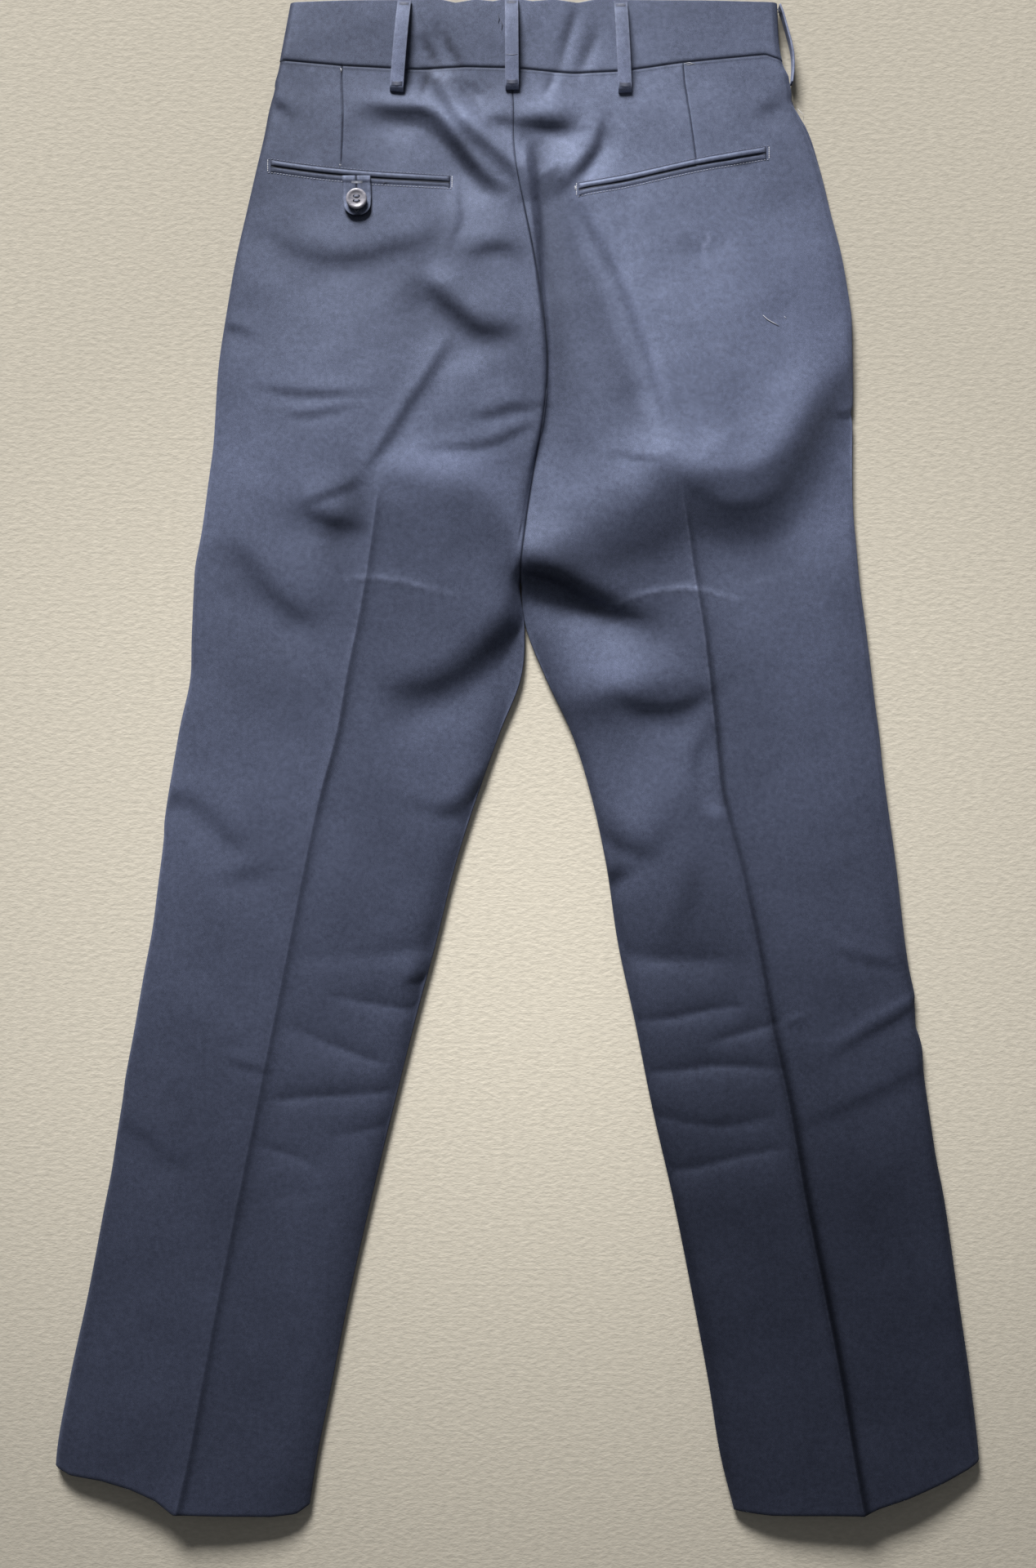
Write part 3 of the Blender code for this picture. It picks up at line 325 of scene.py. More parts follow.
# Short bends of the outseam, in towards the leg (over 0) or out (under 0), in millimetres
Kink = namedtuple("Kink", "down inwards above below")
LEFT_KINKS = table(
    Kink,
    (61, -1.2, 7, 3), (330, 0.8, 20, 20), (420, -0.8, 18, 10), (505, 1.2, 20, 22), (610, -1.0, 30, 8),
    (690, 1.0, 26, 22), (800, -0.8, 24, 12), (870, 0.7, 22, 20),
)
RIGHT_KINKS = table(
    Kink,
    (56, -1.0, 5, 3), (77, 1.6, 6, 2), (235, -0.8, 16, 14), (306, 1.4, 4, 5), (380, 0.9, 24, 20),
    (545, -0.8, 22, 16), (739, -1.2, 14, 4), (762, 1.4, 9, 5), (779, -1.2, 8, 10), (860, 0.8, 20, 20),
)

# The sewn dart over each back pocket, by its distance outwards from the pressed crease
DartRow = namedtuple("DartRow", "down left right")
DARTS = table(DartRow, (50, 30.5, 27.7), (123, 27.3, 34.6))
DART_STARTS = 46
DART_ENDS = 126
# Over these lengths the dart's seam and the pressed crease fade in
DART_FADE = 6
PRESSED_FADE = 60

Loop = namedtuple("Loop", "name across_top across_foot top")
BACK_LOOPS = table(
    Loop,
    ("belt_loop_back_left", -83.5, -89.5, 2), ("belt_loop_centre", -4.5, -4.0, 1),
    ("belt_loop_back_right", 76.0, 79.5, 3),
)
HIDDEN_LOOPS = table(
    Loop,
    ("belt_loop_side_left", -156, -162, 3), ("belt_loop_front_left", -78, -80, 3),
    ("belt_loop_front_right", 88, 90, 3),
)
SIDE_LOOP = [
    (194.4, 3), (196.8, 9), (199.2, 18), (202.6, 30), (204.6, 40), (204.8, 50), (204.2, 57), (203.6, 61),
]
SIDE_LOOP_FOOT = 0.0006
SIDE_LOOP_WIDTH = 0.0094

LEFT_MOUTH = [(-183, 123.5), (-158, 128), (-132, 131.5), (-106, 134), (-80, 135.5), (-50, 136.5)]
RIGHT_MOUTH = [(184, 114.5), (160, 119), (134, 124), (108, 130), (82, 136), (45, 142.5)]
MOUTHS = {"left": LEFT_MOUTH, "right": RIGHT_MOUTH}

TabRow = namedtuple("TabRow", "below width")
TAB = table(TabRow, (0.4, 20.6), (6, 20.6), (10, 20.8), (16, 21), (21, 20))
TAB_COLUMNS = 31
# The tab rounds off to its tip from this far below the mouth, in millimetres
TAB_ROUNDS_FROM = 21
TAB_ENDS = 29.6
TAB_TIP = 30.0
TAB_ACROSS = -119
TAB_LEAN = 0.03
BUTTON_BELOW_MOUTH = 18.5


def bell(off, width):
    """1 in the middle of a line or a spot, and near 0 at twice its width."""
    return np.exp(-((off / width) ** 2))


def smooth_step(value):
    value = np.clip(value, 0, 1)
    return value * value * (3 - 2 * value)


def curve_through(rows, key, value, at):
    """A smooth curve through a table's column, read at other values of its key column."""
    keys = np.array([getattr(row, key) for row in rows], float)
    values = np.array([getattr(row, value) for row in rows], float)
    slopes = np.gradient(values, keys)
    at = np.clip(np.asarray(at, float), keys[0], keys[-1])
    index = np.clip(np.searchsorted(keys, at) - 1, 0, len(keys) - 2)
    step = keys[index + 1] - keys[index]
    t = (at - keys[index]) / step
    first, second = values[index], values[index + 1]
    rise = (2 * t**3 - 3 * t**2 + 1) * first + (3 * t**2 - 2 * t**3) * second
    return rise + step * ((t**3 - 2 * t**2 + t) * slopes[index] + (t**3 - t**2) * slopes[index + 1])


def straight_through(rows, key, value, at):
    keys = [getattr(row, key) for row in rows]
    return np.interp(at, keys, [getattr(row, value) for row in rows])


Step = namedtuple("Step", "along across down strength")


def lengths_along(path):
    """How far along a path in the plan each of its points lies."""
    return np.concatenate([[0], np.cumsum(np.hypot(*np.diff(path, axis=0).T))])


def smooth_path(points):
    """A fold's points, closer together along a smooth curve through them."""
    points = np.array(points, float)
    along = lengths_along(points[:, :2])
    rows = [Step(at, *point) for at, point in zip(along, points)]
    steps = max(2, int(along[-1] / PATH_STEP))
    at = np.linspace(0, along[-1], steps + 1)
    x, y = (curve_through(rows, "along", name, at) for name in ("across", "down"))
    return np.stack([x, y, np.interp(at, along, points[:, 2])], axis=1)


def fold_shape(fold, path, across, down):
    """One fold's height at these points, in millimetres."""
    weights = np.full(np.shape(across), 1e-30)
    height = np.zeros(np.shape(across))
    for (x0, y0, start), (x1, y1, end) in zip(path, path[1:]):
        length = math.hypot(x1 - x0, y1 - y0)
        along_x, along_y = (x1 - x0) / length, (y1 - y0) / length
        share = np.clip(((across - x0) * along_x + (down - y0) * along_y) / length, 0, 1)
        off_x = across - x0 - share * length * along_x
        off_y = down - y0 - share * length * along_y
        on_right = along_x * off_y - along_y * off_x > 0
        width = np.where(on_right, fold.right, fold.left)
        distance = np.hypot(off_x, off_y)
        reach = distance / width
        weight = np.exp(-0.6 * distance)
        strength = fold.height * (start + (end - start) * share)
        if fold.kind == "edge":
            shape = np.exp(-reach)
        elif fold.kind == "fall":
            side = np.where(on_right, -1, 1) * width / (0.5 * (fold.right + fold.left))
            fades = np.clip(1 - (reach / REACH["fall"]) ** 2, 0, 1) ** 2
            shape = side * fades * 2 * reach / (1 + reach**2)
        else:
            shape = np.exp(-(reach**2))
        height += weight * strength * shape
        weights += weight
    return height / weights


def fold_heights(folds, across, down):
    """All of these folds together, each worked out only near its path."""
    across, down = np.broadcast_arrays(np.asarray(across, float), np.asarray(down, float))
    total = np.zeros(across.shape)
    for fold in folds:
        path = smooth_path(fold.points)
        spread = REACH[fold.kind] * max(fold.right, fold.left)
        near = (across > path[:, 0].min() - spread) & (across < path[:, 0].max() + spread)
        near &= (down > path[:, 1].min() - spread) & (down < path[:, 1].max() + spread)
        if near.any():
            total[near] += fold_shape(fold, path, across[near], down[near])
    return total


def ripple(across, down):
    """A slight unevenness that pressed cloth keeps, the same on each run."""
    chance = np.random.default_rng(11)
    total = np.zeros(np.shape(across))
    for low, high, height, count in ((60, 130, 0.16, 14), (22, 50, 0.04, 18)):
        for _ in range(count):
            angle, phase = chance.uniform(0, 2 * math.pi, 2)
            turn = 2 * math.pi / chance.uniform(low, high)
            wave = (across * math.cos(angle) + down * math.sin(angle)) * turn + phase
            total += height / math.sqrt(count) * 1.4 * np.sin(wave)
    return total


def in_dart(down):
    """1 along the darts' seams and 0 past their ends."""
    return smooth_step((down - DART_STARTS) / DART_FADE) * smooth_step((DART_ENDS - down) / DART_FADE)


class Leg:
    """One side of the trousers: its outline, its levels and the height of its back cloth."""

    def __init__(self, side, sections, waist_seam, hem, crease_starts, kinks):
        self.side = side
        self.sections = sections
        self.waist_seam = waist_seam
        self.hem = hem
        self.crease_starts = crease_starts
        self.kinks = kinks
        self.sign = -1 if side == "left" else 1

    def turned(self, down):
        """0 where the inner edge is the seat seam, 1 where it folds down as the inseam."""
        return smooth_step((down - SEAM_FALLS_FROM) / (CROTCH_DOWN - SEAM_FALLS_FROM))

    def outseam(self, down):
        edge = curve_through(self.sections, "down", "outseam", down)
        for kink in self.kinks:
            off = np.asarray(down, float) - kink.down
            width = np.where(off < 0, kink.above, kink.below)
            edge = edge - self.sign * kink.inwards * bell(off, width)
        return edge

    def crease(self, down):
        return curve_through(self.sections, "down", "crease", down)

    def inner(self, down):
        parted = np.minimum(1, PARTS_BY * self.turned(down))
        half_gap = 0.5 * SEAM_GAP / MM + (0.5 * PANEL_WALL / MM + 0.4) * parted
        return curve_through(self.sections, "down", "inner", down) + self.sign * half_gap

    def level(self, down, share, waist_offsets, hem_offsets, hem_rise=0):
        """How far down a point of this row lies, as the waist seam and the hem slope."""
        waist = straight_through(waist_offsets, "share", "down", share)
        near_waist = 1 - smooth_step((down - WAIST_SEAM_DOWN) / (WAIST_SLOPE_ENDS - WAIST_SEAM_DOWN))
        hem = straight_through(hem_offsets, "share", "down", share)
        hem = hem - hem_rise * np.sin(math.pi * np.clip(share, 0, 1))
        near_hem = smooth_step((down - HEM_SLOPE_STARTS) / (LENGTH / MM - HEM_SLOPE_STARTS))
        return down + waist * near_waist + hem * near_hem

    def dart(self, down):
        return self.crease(down) + self.sign * straight_through(DARTS, "down", self.side, down)

    def pressed(self, down):
        return smooth_step((down - self.crease_starts) / PRESSED_FADE)

    def back_height(self, across, down):
        """The middle of the back cloth over any point of the plan, in millimetres."""
        outseam = curve_through(self.sections, "down", "outseam", down)
        crease = self.crease(down)
        inner = self.inner(down)
        edge = curve_through(HEIGHTS, "down", "edge", down)
        middle = curve_through(HEIGHTS, "down", "middle", down)
        centre = curve_through(HEIGHTS, "down", "centre", down)
        outer_share = np.clip((across - outseam) / (crease - outseam), 0, 1)
        inner_share = np.clip((inner - across) / (inner - crease), 0, 1)
        rises = edge + (middle - edge) * (1 - (1 - outer_share) ** 2)
        falls = centre + (middle - centre) * (1 - (1 - inner_share) ** 2)
        height = np.where((across - crease) * self.sign > 0, rises, falls)
        off_crease = np.abs(across - crease)
        ridge = PRESSED_CREASE_HEIGHT * np.exp(-off_crease / PRESSED_CREASE_WIDTH)
        height = height + self.pressed(down) * ridge
        height = height + fold_heights(FOLDS + FINE_FOLDS + SHARP_FOLDS, across, down)
        roll = np.clip(1 - np.abs(across - inner) / INSEAM_ROLL_WIDTH, 0, 1) ** 2
        height = height - INSEAM_ROLL * self.turned(down) * roll
        off_dart = (across - self.dart(down)) * self.sign
        tuck = 0.35 * np.exp(-np.clip(-off_dart, 0, 50) / 6) * (off_dart < 0)
        groove = -0.5 * bell(off_dart, 0.55)
        return height + in_dart(down) * (tuck + groove) + ripple(across, down)


LEGS = {
    "left": Leg("left", LEFT_SECTIONS, LEFT_WAIST_SEAM, LEFT_HEM, LEFT_CREASE_STARTS, LEFT_KINKS),
    "right": Leg("right", RIGHT_SECTIONS, RIGHT_WAIST_SEAM, RIGHT_HEM, RIGHT_CREASE_STARTS, RIGHT_KINKS),
}


def place(across, down, height):
    """Millimetres on the laid trousers to a point in metres."""
    across, down, height = np.broadcast_arrays(across, down, height)
    return np.stack([across * MM, LENGTH / 2 - down * MM, height * MM], axis=-1)


def edge_columns(count, radius):
    """Distances in from an edge, in millimetres, as its round fold is cut into even angles."""
    angles = np.linspace(0, math.pi / 2, count + 1)
    return radius * (1 - np.cos(angles))


def round_edge(distance, radius):
    """0 at an edge and 1 from its radius inwards, as a quarter of an ellipse."""
    inside = np.clip(1 - distance / radius, 0, 1)
    return np.sqrt(1 - inside**2)


# How a panel's grid is cut: steps in the edge's fold, and between the edge, the dart, the crease
# and the inner edge
Cut = namedtuple("Cut", "arcs outer middle inner")
BACK_CUT = Cut(8, 29, 11, 40)
FRONT_CUT = Cut(4, 16, 4, 20)
NEAR_DART = np.array([-2, -1, -0.4, 0, 0.4, 1, 2])
NEAR_CREASE = np.array([3.5, 2, 1.1, 0.5, 0])


def panel_columns(leg, row_down, cut, radius):
    """Across places of one row, close together at the edges, the dart and the pressed crease."""
    outseam = float(leg.outseam(row_down[0]))
    crease = float(leg.crease(row_down[1]))
    inner = float(leg.inner(row_down[2]))
    outer_width, inner_width = abs(crease - outseam), abs(inner - crease)
    edge = edge_columns(cut.arcs, radius)
    dart = outer_width - float(straight_through(DARTS, "down", leg.side, row_down[1]))
    outer = np.concatenate([
        [0],
        edge,
        np.linspace(radius, dart + NEAR_DART[0], cut.outer + 1)[1:-1],
        dart + NEAR_DART,
        np.linspace(dart + NEAR_DART[-1], outer_width - NEAR_CREASE[0], cut.middle + 1)[1:-1],
        outer_width - NEAR_CREASE,
    ])
    turned = float(leg.turned(row_down[2]))
    sewn = np.linspace(0, 1, cut.arcs + 2) ** 1.5 * radius
    inward = np.concatenate([
        turned * np.concatenate([[0], edge]) + (1 - turned) * sewn,
        np.linspace(radius, inner_width - NEAR_CREASE[0], cut.inner + 1)[1:-1],
        inner_width - NEAR_CREASE[:-1],
    ])
    across = np.concatenate([outseam - leg.sign * outer, (inner + leg.sign * inward)[::-1]])
    return across, np.abs(across - outseam), np.abs(across - inner)


def stepped(*stretches):
    """Levels from stretches of (from, to, steps), each starting where the last one ends."""
    levels = [np.linspace(start, end, steps + 1)[1:] for start, end, steps in stretches]
    return np.concatenate([[stretches[0][0]], *levels])


BACK_ROWS = stepped(
    (50, 53, 6), (53, 62, 6), (62, 262, 78), (262, 420, 54), (420, 460, 22),
    (460, 720, 62), (720, 880, 72), (880, 1112, 56), (1112, 1124, 8),
)
FRONT_ROWS = stepped((50, 60, 4), (60, 467, 50), (467, 1112, 70), (1112, 1124, 5))


def side_seam(level, towards):
    """The level of a cloth at the side seams, over (1) or under (-1) where the two meet, and of its lip."""
    seam = curve_through(HEIGHTS, "down", "side_seam", level) + towards * 0.5 * SEAM_GAP / MM
    return seam, seam + towards * LIP / MM


def folded_edges(flat, level, turned, towards, from_outseam, from_inner, radius):
    """A panel's height with its outseam and its inseam folded round to the seams."""
    seam, foot = side_seam(level, towards)
    outer = foot + (flat - foot) * round_edge(from_outseam, radius)
    folded = foot + (flat - foot) * round_edge(from_inner, radius)
    height = np.where(from_outseam < from_inner, outer, flat + (folded - flat) * turned)
    height[:, 0] = seam[:, 0]
    height[:, -1] = flat[:, -1] + (seam[:, -1] - flat[:, -1]) * turned[:, -1]
    return height


def panel_grid(leg, rows, cut, radius, waist, hem_rise=0):
    """The places of a panel's points in the plan, and how far each is from its row's two edges."""
    made = []
    for down in rows:
        ends = [float(leg.level(down, share, waist, leg.hem, hem_rise)) for share in (0, 0.5, 1)]
        across, from_outseam, from_inner = panel_columns(leg, ends, cut, radius)
        share = from_outseam / (from_outseam + from_inner)
        level = leg.level(down, share, waist, leg.hem, hem_rise) + 0.5 * SEAM_GAP / MM * (down == rows[0])
        made.append((across, level, from_outseam, from_inner))
    return [np.array(part) for part in zip(*made)]


def back_panel_points(leg):
    """The middle of a back panel's cloth, and its marks and painted light and shade, as rows of points."""
    radius = EDGE_RADIUS / MM
    across, level, from_outseam, from_inner = panel_grid(leg, BACK_ROWS, BACK_CUT, radius, leg.waist_seam)
    top = leg.back_height(across, level)
    below_seam = (BACK_ROWS - WAIST_SEAM_DOWN)[:, None]
    top = top - 0.25 * bell(below_seam, 0.4)
    turned = leg.turned(level)
    seat_groove = (0.25 + 0.4 * smooth_step((level - 120) / 60)) * (1 - turned)
    if leg.sign < 0:
        top = top - seat_groove * bell(from_inner, 0.8)
    top = np.maximum(top, LOWEST_BACK)
    height = folded_edges(top, level, turned, 1, from_outseam, from_inner, radius)
    # Painted shade along the waist seam and just under it, dark lines in the seat seam, painted light on the
    # puckers under the waist seam, and a dark line along the hem's edge
    marks_and_painted_shading = painted_lines_of(leg, across, level) - 0.9 * bell(below_seam, 0.9)
    marks_and_painted_shading = marks_and_painted_shading - 0.4 * bell(below_seam - 2.2, 0.5)
    marks_and_painted_shading = marks_and_painted_shading - seat_groove * bell(from_inner, 0.6)
    puckers = 0.5 + 0.5 * np.sin(across * 0.55 + 2 * np.sin(across * 0.13))
    marks_and_painted_shading = marks_and_painted_shading + 0.07 * puckers * bell(below_seam - 6, 3)
    marks_and_painted_shading = marks_and_painted_shading - 0.35 * bell(LENGTH / MM - BACK_ROWS, 1.3)[:, None]
    return np.stack([across, level, height], axis=-1), marks_and_painted_shading


def painted_lines_of(leg, across, down):
    """Painted lines: a painted highlight along each pressed crease and each hanger crease (over 0), and
    painted shade beside each crease and a dark line along each dart's seam (under 0).
    """
    off_crease = (across - leg.crease(down)) * leg.sign
    pressed = leg.pressed(down)
    light, wide = (0.14, 2.2) if leg.sign < 0 else (0.26, 1.0)
    light = light * (1 - 0.7 * smooth_step((down - 500) / 90))
    marks_and_painted_shading = light * pressed * bell(off_crease, wide)
    marks_and_painted_shading = marks_and_painted_shading - 0.22 * pressed * bell(off_crease * leg.sign - 2.2, 1.6)
    marks_and_painted_shading = marks_and_painted_shading + 0.6 * fold_heights(SHARP_FOLDS, across, down)
    marks_and_painted_shading = marks_and_painted_shading - 0.55 * in_dart(down) * bell(across - leg.dart(down), 0.5)
    return marks_and_painted_shading


# Painted light and shade: large, soft patches that make the cloth paler or darker where the photograph
# is light or dark. Most amounts were tuned by its brightness against a render's, so they hold its shading.
Patch = namedtuple("Patch", "across down wide tall amount")
PAINTED_SHADING_PATCHES = table(
    Patch,
    (255, 960, 110, 190, -0.34), (150, 700, 40, 60, -0.12), (-190, 620, 120, 150, 0.10),
    (215, 500, 60, 150, 0.35), (180, 240, 110, 130, 0.62), (80, 120, 60, 60, 0.2),
    (-170, 90, 60, 90, -0.2), (100, 590, 60, 60, 0.2), (-60, 560, 50, 60, 0.25),
    (-137, 398, 14, 24, -0.35), (-92, 384, 24, 16, -0.15), (62, 492, 34, 18, 0.5),
    (10, 384, 22, 20, -0.3), (222, 200, 32, 60, 0.42), (131, 26, 60, 24, 0.2),
    (-122, 370, 13, 28, -0.4), (-202, 424, 34, 40, -0.2), (-69, 515, 36, 18, -0.24),
    (198, 485, 50, 40, 0.2), (222, 388, 30, 26, 0.18), (71, 503, 24, 12, 0.42),
    (-34, 66, 26, 12, -0.24), (-60, 58, 14, 8, -0.35), (108, 322, 16, 14, -0.25),
    (26, 110, 19, 12, -0.22), (-46, 92, 12, 10, 0.6), (104, 494, 26, 12, 0.35), (-45, 346, 40, 14, 0.2),
    (-250, 30, 130, 130, -0.15), (245, 330, 60, 60, 0.25), (120, 960, 60, 190, -0.22),
    (-250, 1090, 120, 60, -0.1), (-100, 800, 50, 70, 0.12), (84, 206, 34, 50, 0.2),
    (40, 364, 26, 24, 0.17), (-154, 909, 34, 70, 0.14),
)


# Painted light and shade along lines: painted shade in the folds, the gathers and along the legs' edges, and
# painted highlights along ridges
PAINTED_SHADING_LINES = [
    Fold("dark beside the seat seam", "soft", -0.34, 4, 18,
         [(12, 104, 0), (16, 130, 0.8), (20, 180, 1), (26, 240, 1), (28, 290, 0.8), (20, 335, 0.2)]),
    Fold("gather left of the middle, outer", "soft", -0.5, 4, 4,
         [(-70, 24, 0), (-67, 34, 1), (-60, 48, 0.8), (-57, 54, 0)]),
    Fold("gather left of the middle", "soft", -0.5, 4, 4,
         [(-55, 20, 0), (-51, 32, 1), (-43, 46, 0.9), (-38, 54, 0)]),
    Fold("gather right of the middle", "soft", -0.35, 2.5, 2.5,
         [(42, 6, 0), (39, 16, 1), (33, 40, 1), (31, 50, 0.6)]),
    Fold("gather right of the middle, outer", "soft", -0.30, 5, 5,
         [(58, 22, 0), (55, 32, 1), (50, 46, 1), (48, 54, 0)]),
    Fold("light streak of the band", "soft", 0.25, 1.5, 1.5,
         [(15, 9, 0), (20, 17, 1), (28, 27, 0.6), (31, 32, 0)]),
    Fold("light over the right outer knee", "soft", 0.5, 3, 5,
         [(206, 772, 0), (236, 770, 0.5), (262, 756, 0.8), (284, 744, 1), (292, 740, 0.6)]),
    Fold("dark of the hollow in the left seat", "soft", -0.2, 11, 11,
         [(-66, 214, 0), (-56, 224, 1), (-40, 240, 1), (-22, 250, 1), (-4, 246, 0)]),
    Fold("dark of the deep fold", "soft", -0.55, 9, 13,
         [(-4, 424, 0), (6, 427, 1), (24, 430, 1), (46, 442, 0.8), (72, 456, 0.3), (90, 462, 0)]),
    Fold("dark under the right seat", "soft", -0.42, 22, 18,
         [(124, 372, 0.4), (150, 388, 1), (180, 392, 1), (200, 372, 0.8), (220, 330, 0.6), (240, 280, 0.3)]),
    Fold("dark under the crotch ridge", "soft", -0.35, 16, 12,
         [(20, 412, 0), (50, 420, 0.8), (80, 414, 1), (110, 398, 1), (128, 384, 0.6)]),
    Fold("dark under the crotch on the left", "soft", -0.3, 10, 12,
         [(8, 466, 0), (-2, 468, 1), (-20, 478, 1), (-46, 496, 0.4), (-70, 510, 0.3), (-96, 514, 0)]),
    Fold("light by the crotch on the left", "soft", 0.34, 12, 14,
         [(-100, 338, 0), (-74, 344, 0.8), (-40, 348, 1), (-12, 366, 1), (0, 386, 0.4)]),
    Fold("dark left of the right seat line", "soft", -0.26, 20, 5,
         [(26, 150, 0), (46, 192, 0.8), (62, 232, 1), (76, 272, 1), (90, 312, 0.8), (100, 340, 0)]),
    Fold("dark under the ridge from the left loop", "soft", -0.3, 8, 8,
         [(-68, 92, 0), (-52, 103, 1), (-38, 118, 1), (-27, 131, 0)]),
    Fold("dark pucker under the left loop", "soft", -0.35, 3, 3,
         [(-66, 56, 0.6), (-69, 66, 1), (-73, 76, 0)]),
    Fold("end of the right crease", "soft", 0.7, 6, 6, [(142, 599, 0.6), (148, 604, 1), (149, 609, 0)]),
    Fold("dark inside the right knee", "soft", -0.3, 10, 10,
         [(134, 634, 0), (130, 652, 1), (122, 680, 0.8), (112, 700, 0.2)]),
    Fold("dark pinch of the right knee", "soft", -0.4, 7, 7,
         [(68, 606, 0.2), (74, 640, 1), (70, 654, 1), (68, 662, 0)]),
    Fold("light along the right seat", "soft", 0.5, 4, 5,
         [(40, 141, 0.4), (58, 171, 1), (75, 204, 1), (87, 234, 1), (98, 265, 1), (106, 292, 0.8),
          (113, 316, 0.35), (122, 342, 0)]),
    Fold("left inner edge", "soft", -0.45, 7, 7,
         [(-6, 536, 0), (-14, 556, 0.6), (-30, 586, 1), (-40, 612, 0.5), (-56, 660, 0.6), (-72, 722, 1),
          (-84, 790, 0.7), (-96, 840, 0.9), (-112, 915, 0.8), (-136, 1040, 0.6), (-152, 1110, 0.4)]),
    Fold("right inner edge", "soft", -0.3, 5, 5,
         [(14, 490, 0), (36, 536, 0.8), (54, 580, 0.8), (64, 640, 0.8), (80, 706, 0.4), (100, 818, 0.5),
          (119, 897, 0.8), (142, 1000, 0.6), (158, 1110, 0.5)]),
    Fold("right outer edge", "soft", -0.3, 6, 6,
         [(266, 600, 0), (282, 700, 0.7), (293, 732, 1), (302, 800, 0.8), (312, 860, 1), (322, 920, 0.8),
          (340, 1080, 0.3)]),
    Fold("left outer edge", "soft", -0.2, 4, 6,
         [(-292, 800, 0), (-302, 850, 1), (-318, 960, 0.6), (-338, 1080, 0.5)]),
]


# Painted light and shade by level: the cloth is painted paler over the seat and the thighs than at the waist
# and the hems, tuned likewise
Swell = namedtuple("Swell", "down tall left right")
PAINTED_LIGHT_SWELLS = [Swell(365, 85, 0.6, 0.28), Swell(620, 170, 0.42, 0.28)]
WAIST_PAINTED_SHADE = {"left": -0.2, "right": -0.05}
HEM_PAINTED_SHADE = {"left": -0.1, "right": -0.27}

# Painted shade along each pressed crease, mostly on its side away from the light
CreaseShade = namedtuple("CreaseShade", "down amount offset width")
LEFT_CREASE_SHADE = table(
    CreaseShade,
    (350, 0, 2, 3), (480, -0.15, 2, 3), (530, -0.36, 2, 3), (590, -0.36, 2, 3), (620, -0.2, 0.5, 5.5),
    (760, -0.20, 0, 6), (900, -0.20, 1, 6), (1000, -0.18, 2, 4), (1124, -0.26, 2.4, 3),
)
RIGHT_CREASE_SHADE = table(
    CreaseShade,
    (350, 0, 2, 3), (470, -0.35, 2, 3), (527, -0.55, 2, 3.2), (594, -0.55, 2, 3), (612, -0.3, 2, 3),
    (740, -0.4, 2, 4), (800, -0.5, 2, 4.5), (1124, -0.5, 2.4, 3.4),
)


def painted_crease_shade(leg, rows, across, down):
    names = ("amount", "offset", "width")
    amount, offset, width = (straight_through(rows, "down", name, down) for name in names)
    return amount * bell(across - leg.crease(down) - offset, width)


def painted_level_shading(side, down):
    """One side's painted light and shade at a level: an even change from the waist to the hem, and the
    swells.
    """
    share = smooth_step(down / (LENGTH / MM))
    tone_and_painted_shading = WAIST_PAINTED_SHADE[side] + (HEM_PAINTED_SHADE[side] - WAIST_PAINTED_SHADE[side]) * share
    for swell in PAINTED_LIGHT_SWELLS:
        tone_and_painted_shading = tone_and_painted_shading + getattr(swell, side) * bell(down - swell.down, swell.tall)
    return tone_and_painted_shading


# The painted light and shade of the cloth at these points: the lines, the creases' shade, the patches and the
# levels together
def painted_shading_of(across, down):
    total = fold_heights(PAINTED_SHADING_LINES, across, down)
    total += painted_crease_shade(LEGS["left"], LEFT_CREASE_SHADE, across, down)
    total += painted_crease_shade(LEGS["right"], RIGHT_CREASE_SHADE, across, down)
    for patch in PAINTED_SHADING_PATCHES:
        spot = ((across - patch.across) / patch.wide) ** 2 + ((down - patch.down) / patch.tall) ** 2
        total += patch.amount * np.exp(-spot)
    left, right = painted_level_shading("left", down), painted_level_shading("right", down)
    level = left + (right - left) * smooth_step((across + 12) / 30)
    return (1 + total) * (1 + level) - 1


# Light marks left on the cloth
Chalk = namedtuple("Chalk", "across down wide tall amount")
CHALK_MARKS = table(Chalk, (138.5, 185, 3.0, 6.0, 0.75), (141, 178, 2.4, 4.0, 0.6), (149, 262, 6.0, 4.0, 0.3))


def hem_turn(points, inward, towards):
    """Rows that fold the hem round and lay it up inside the leg, for the turned-up hem."""
    last = points[-1]
    middle = 0.5 * (last[0, 0] + last[-1, 0])
    rows = []
    for angle in np.radians([50, 100, 150, 180]):
        row = last.copy()
        row[:, 1] += HEM_FOLD_RADIUS * math.sin(angle)
        row[:, 2] += towards * HEM_FOLD_RADIUS * (1 - math.cos(angle))
        rows.append(row)
    for up in (3, 12, 24, HEM_TURN_UP / MM):
        row = last.copy()
        row[:, 1] = last[:, 1] - up
        columns = zip(row[:, 1], points.transpose(1, 0, 2))
        row[:, 0] = [np.interp(down, column[:, 1], column[:, 0]) for down, column in columns]
        row[:, 0] = middle + (row[:, 0] - middle) * inward
        row[:, 2] += towards * 2 * HEM_FOLD_RADIUS
        rows.append(row)
    return np.concatenate([points, np.array(rows)])


def front_panel_points(leg):
    """The middle of a front panel's cloth, flat where it rests."""
    radius = FRONT_EDGE_RADIUS / MM
    across, level, from_outseam, from_inner = panel_grid(
        leg, FRONT_ROWS, FRONT_CUT, radius, FRONT_WAIST_SEAM, FRONT_HEM_RISE
    )
    flat = 0.5 * PANEL_WALL / MM + straight_through(HEIGHTS, "down", "front_lift", level)
    height = folded_edges(flat, level, leg.turned(level), -1, from_outseam, from_inner, radius)
    return np.stack([across, level, height], axis=-1)


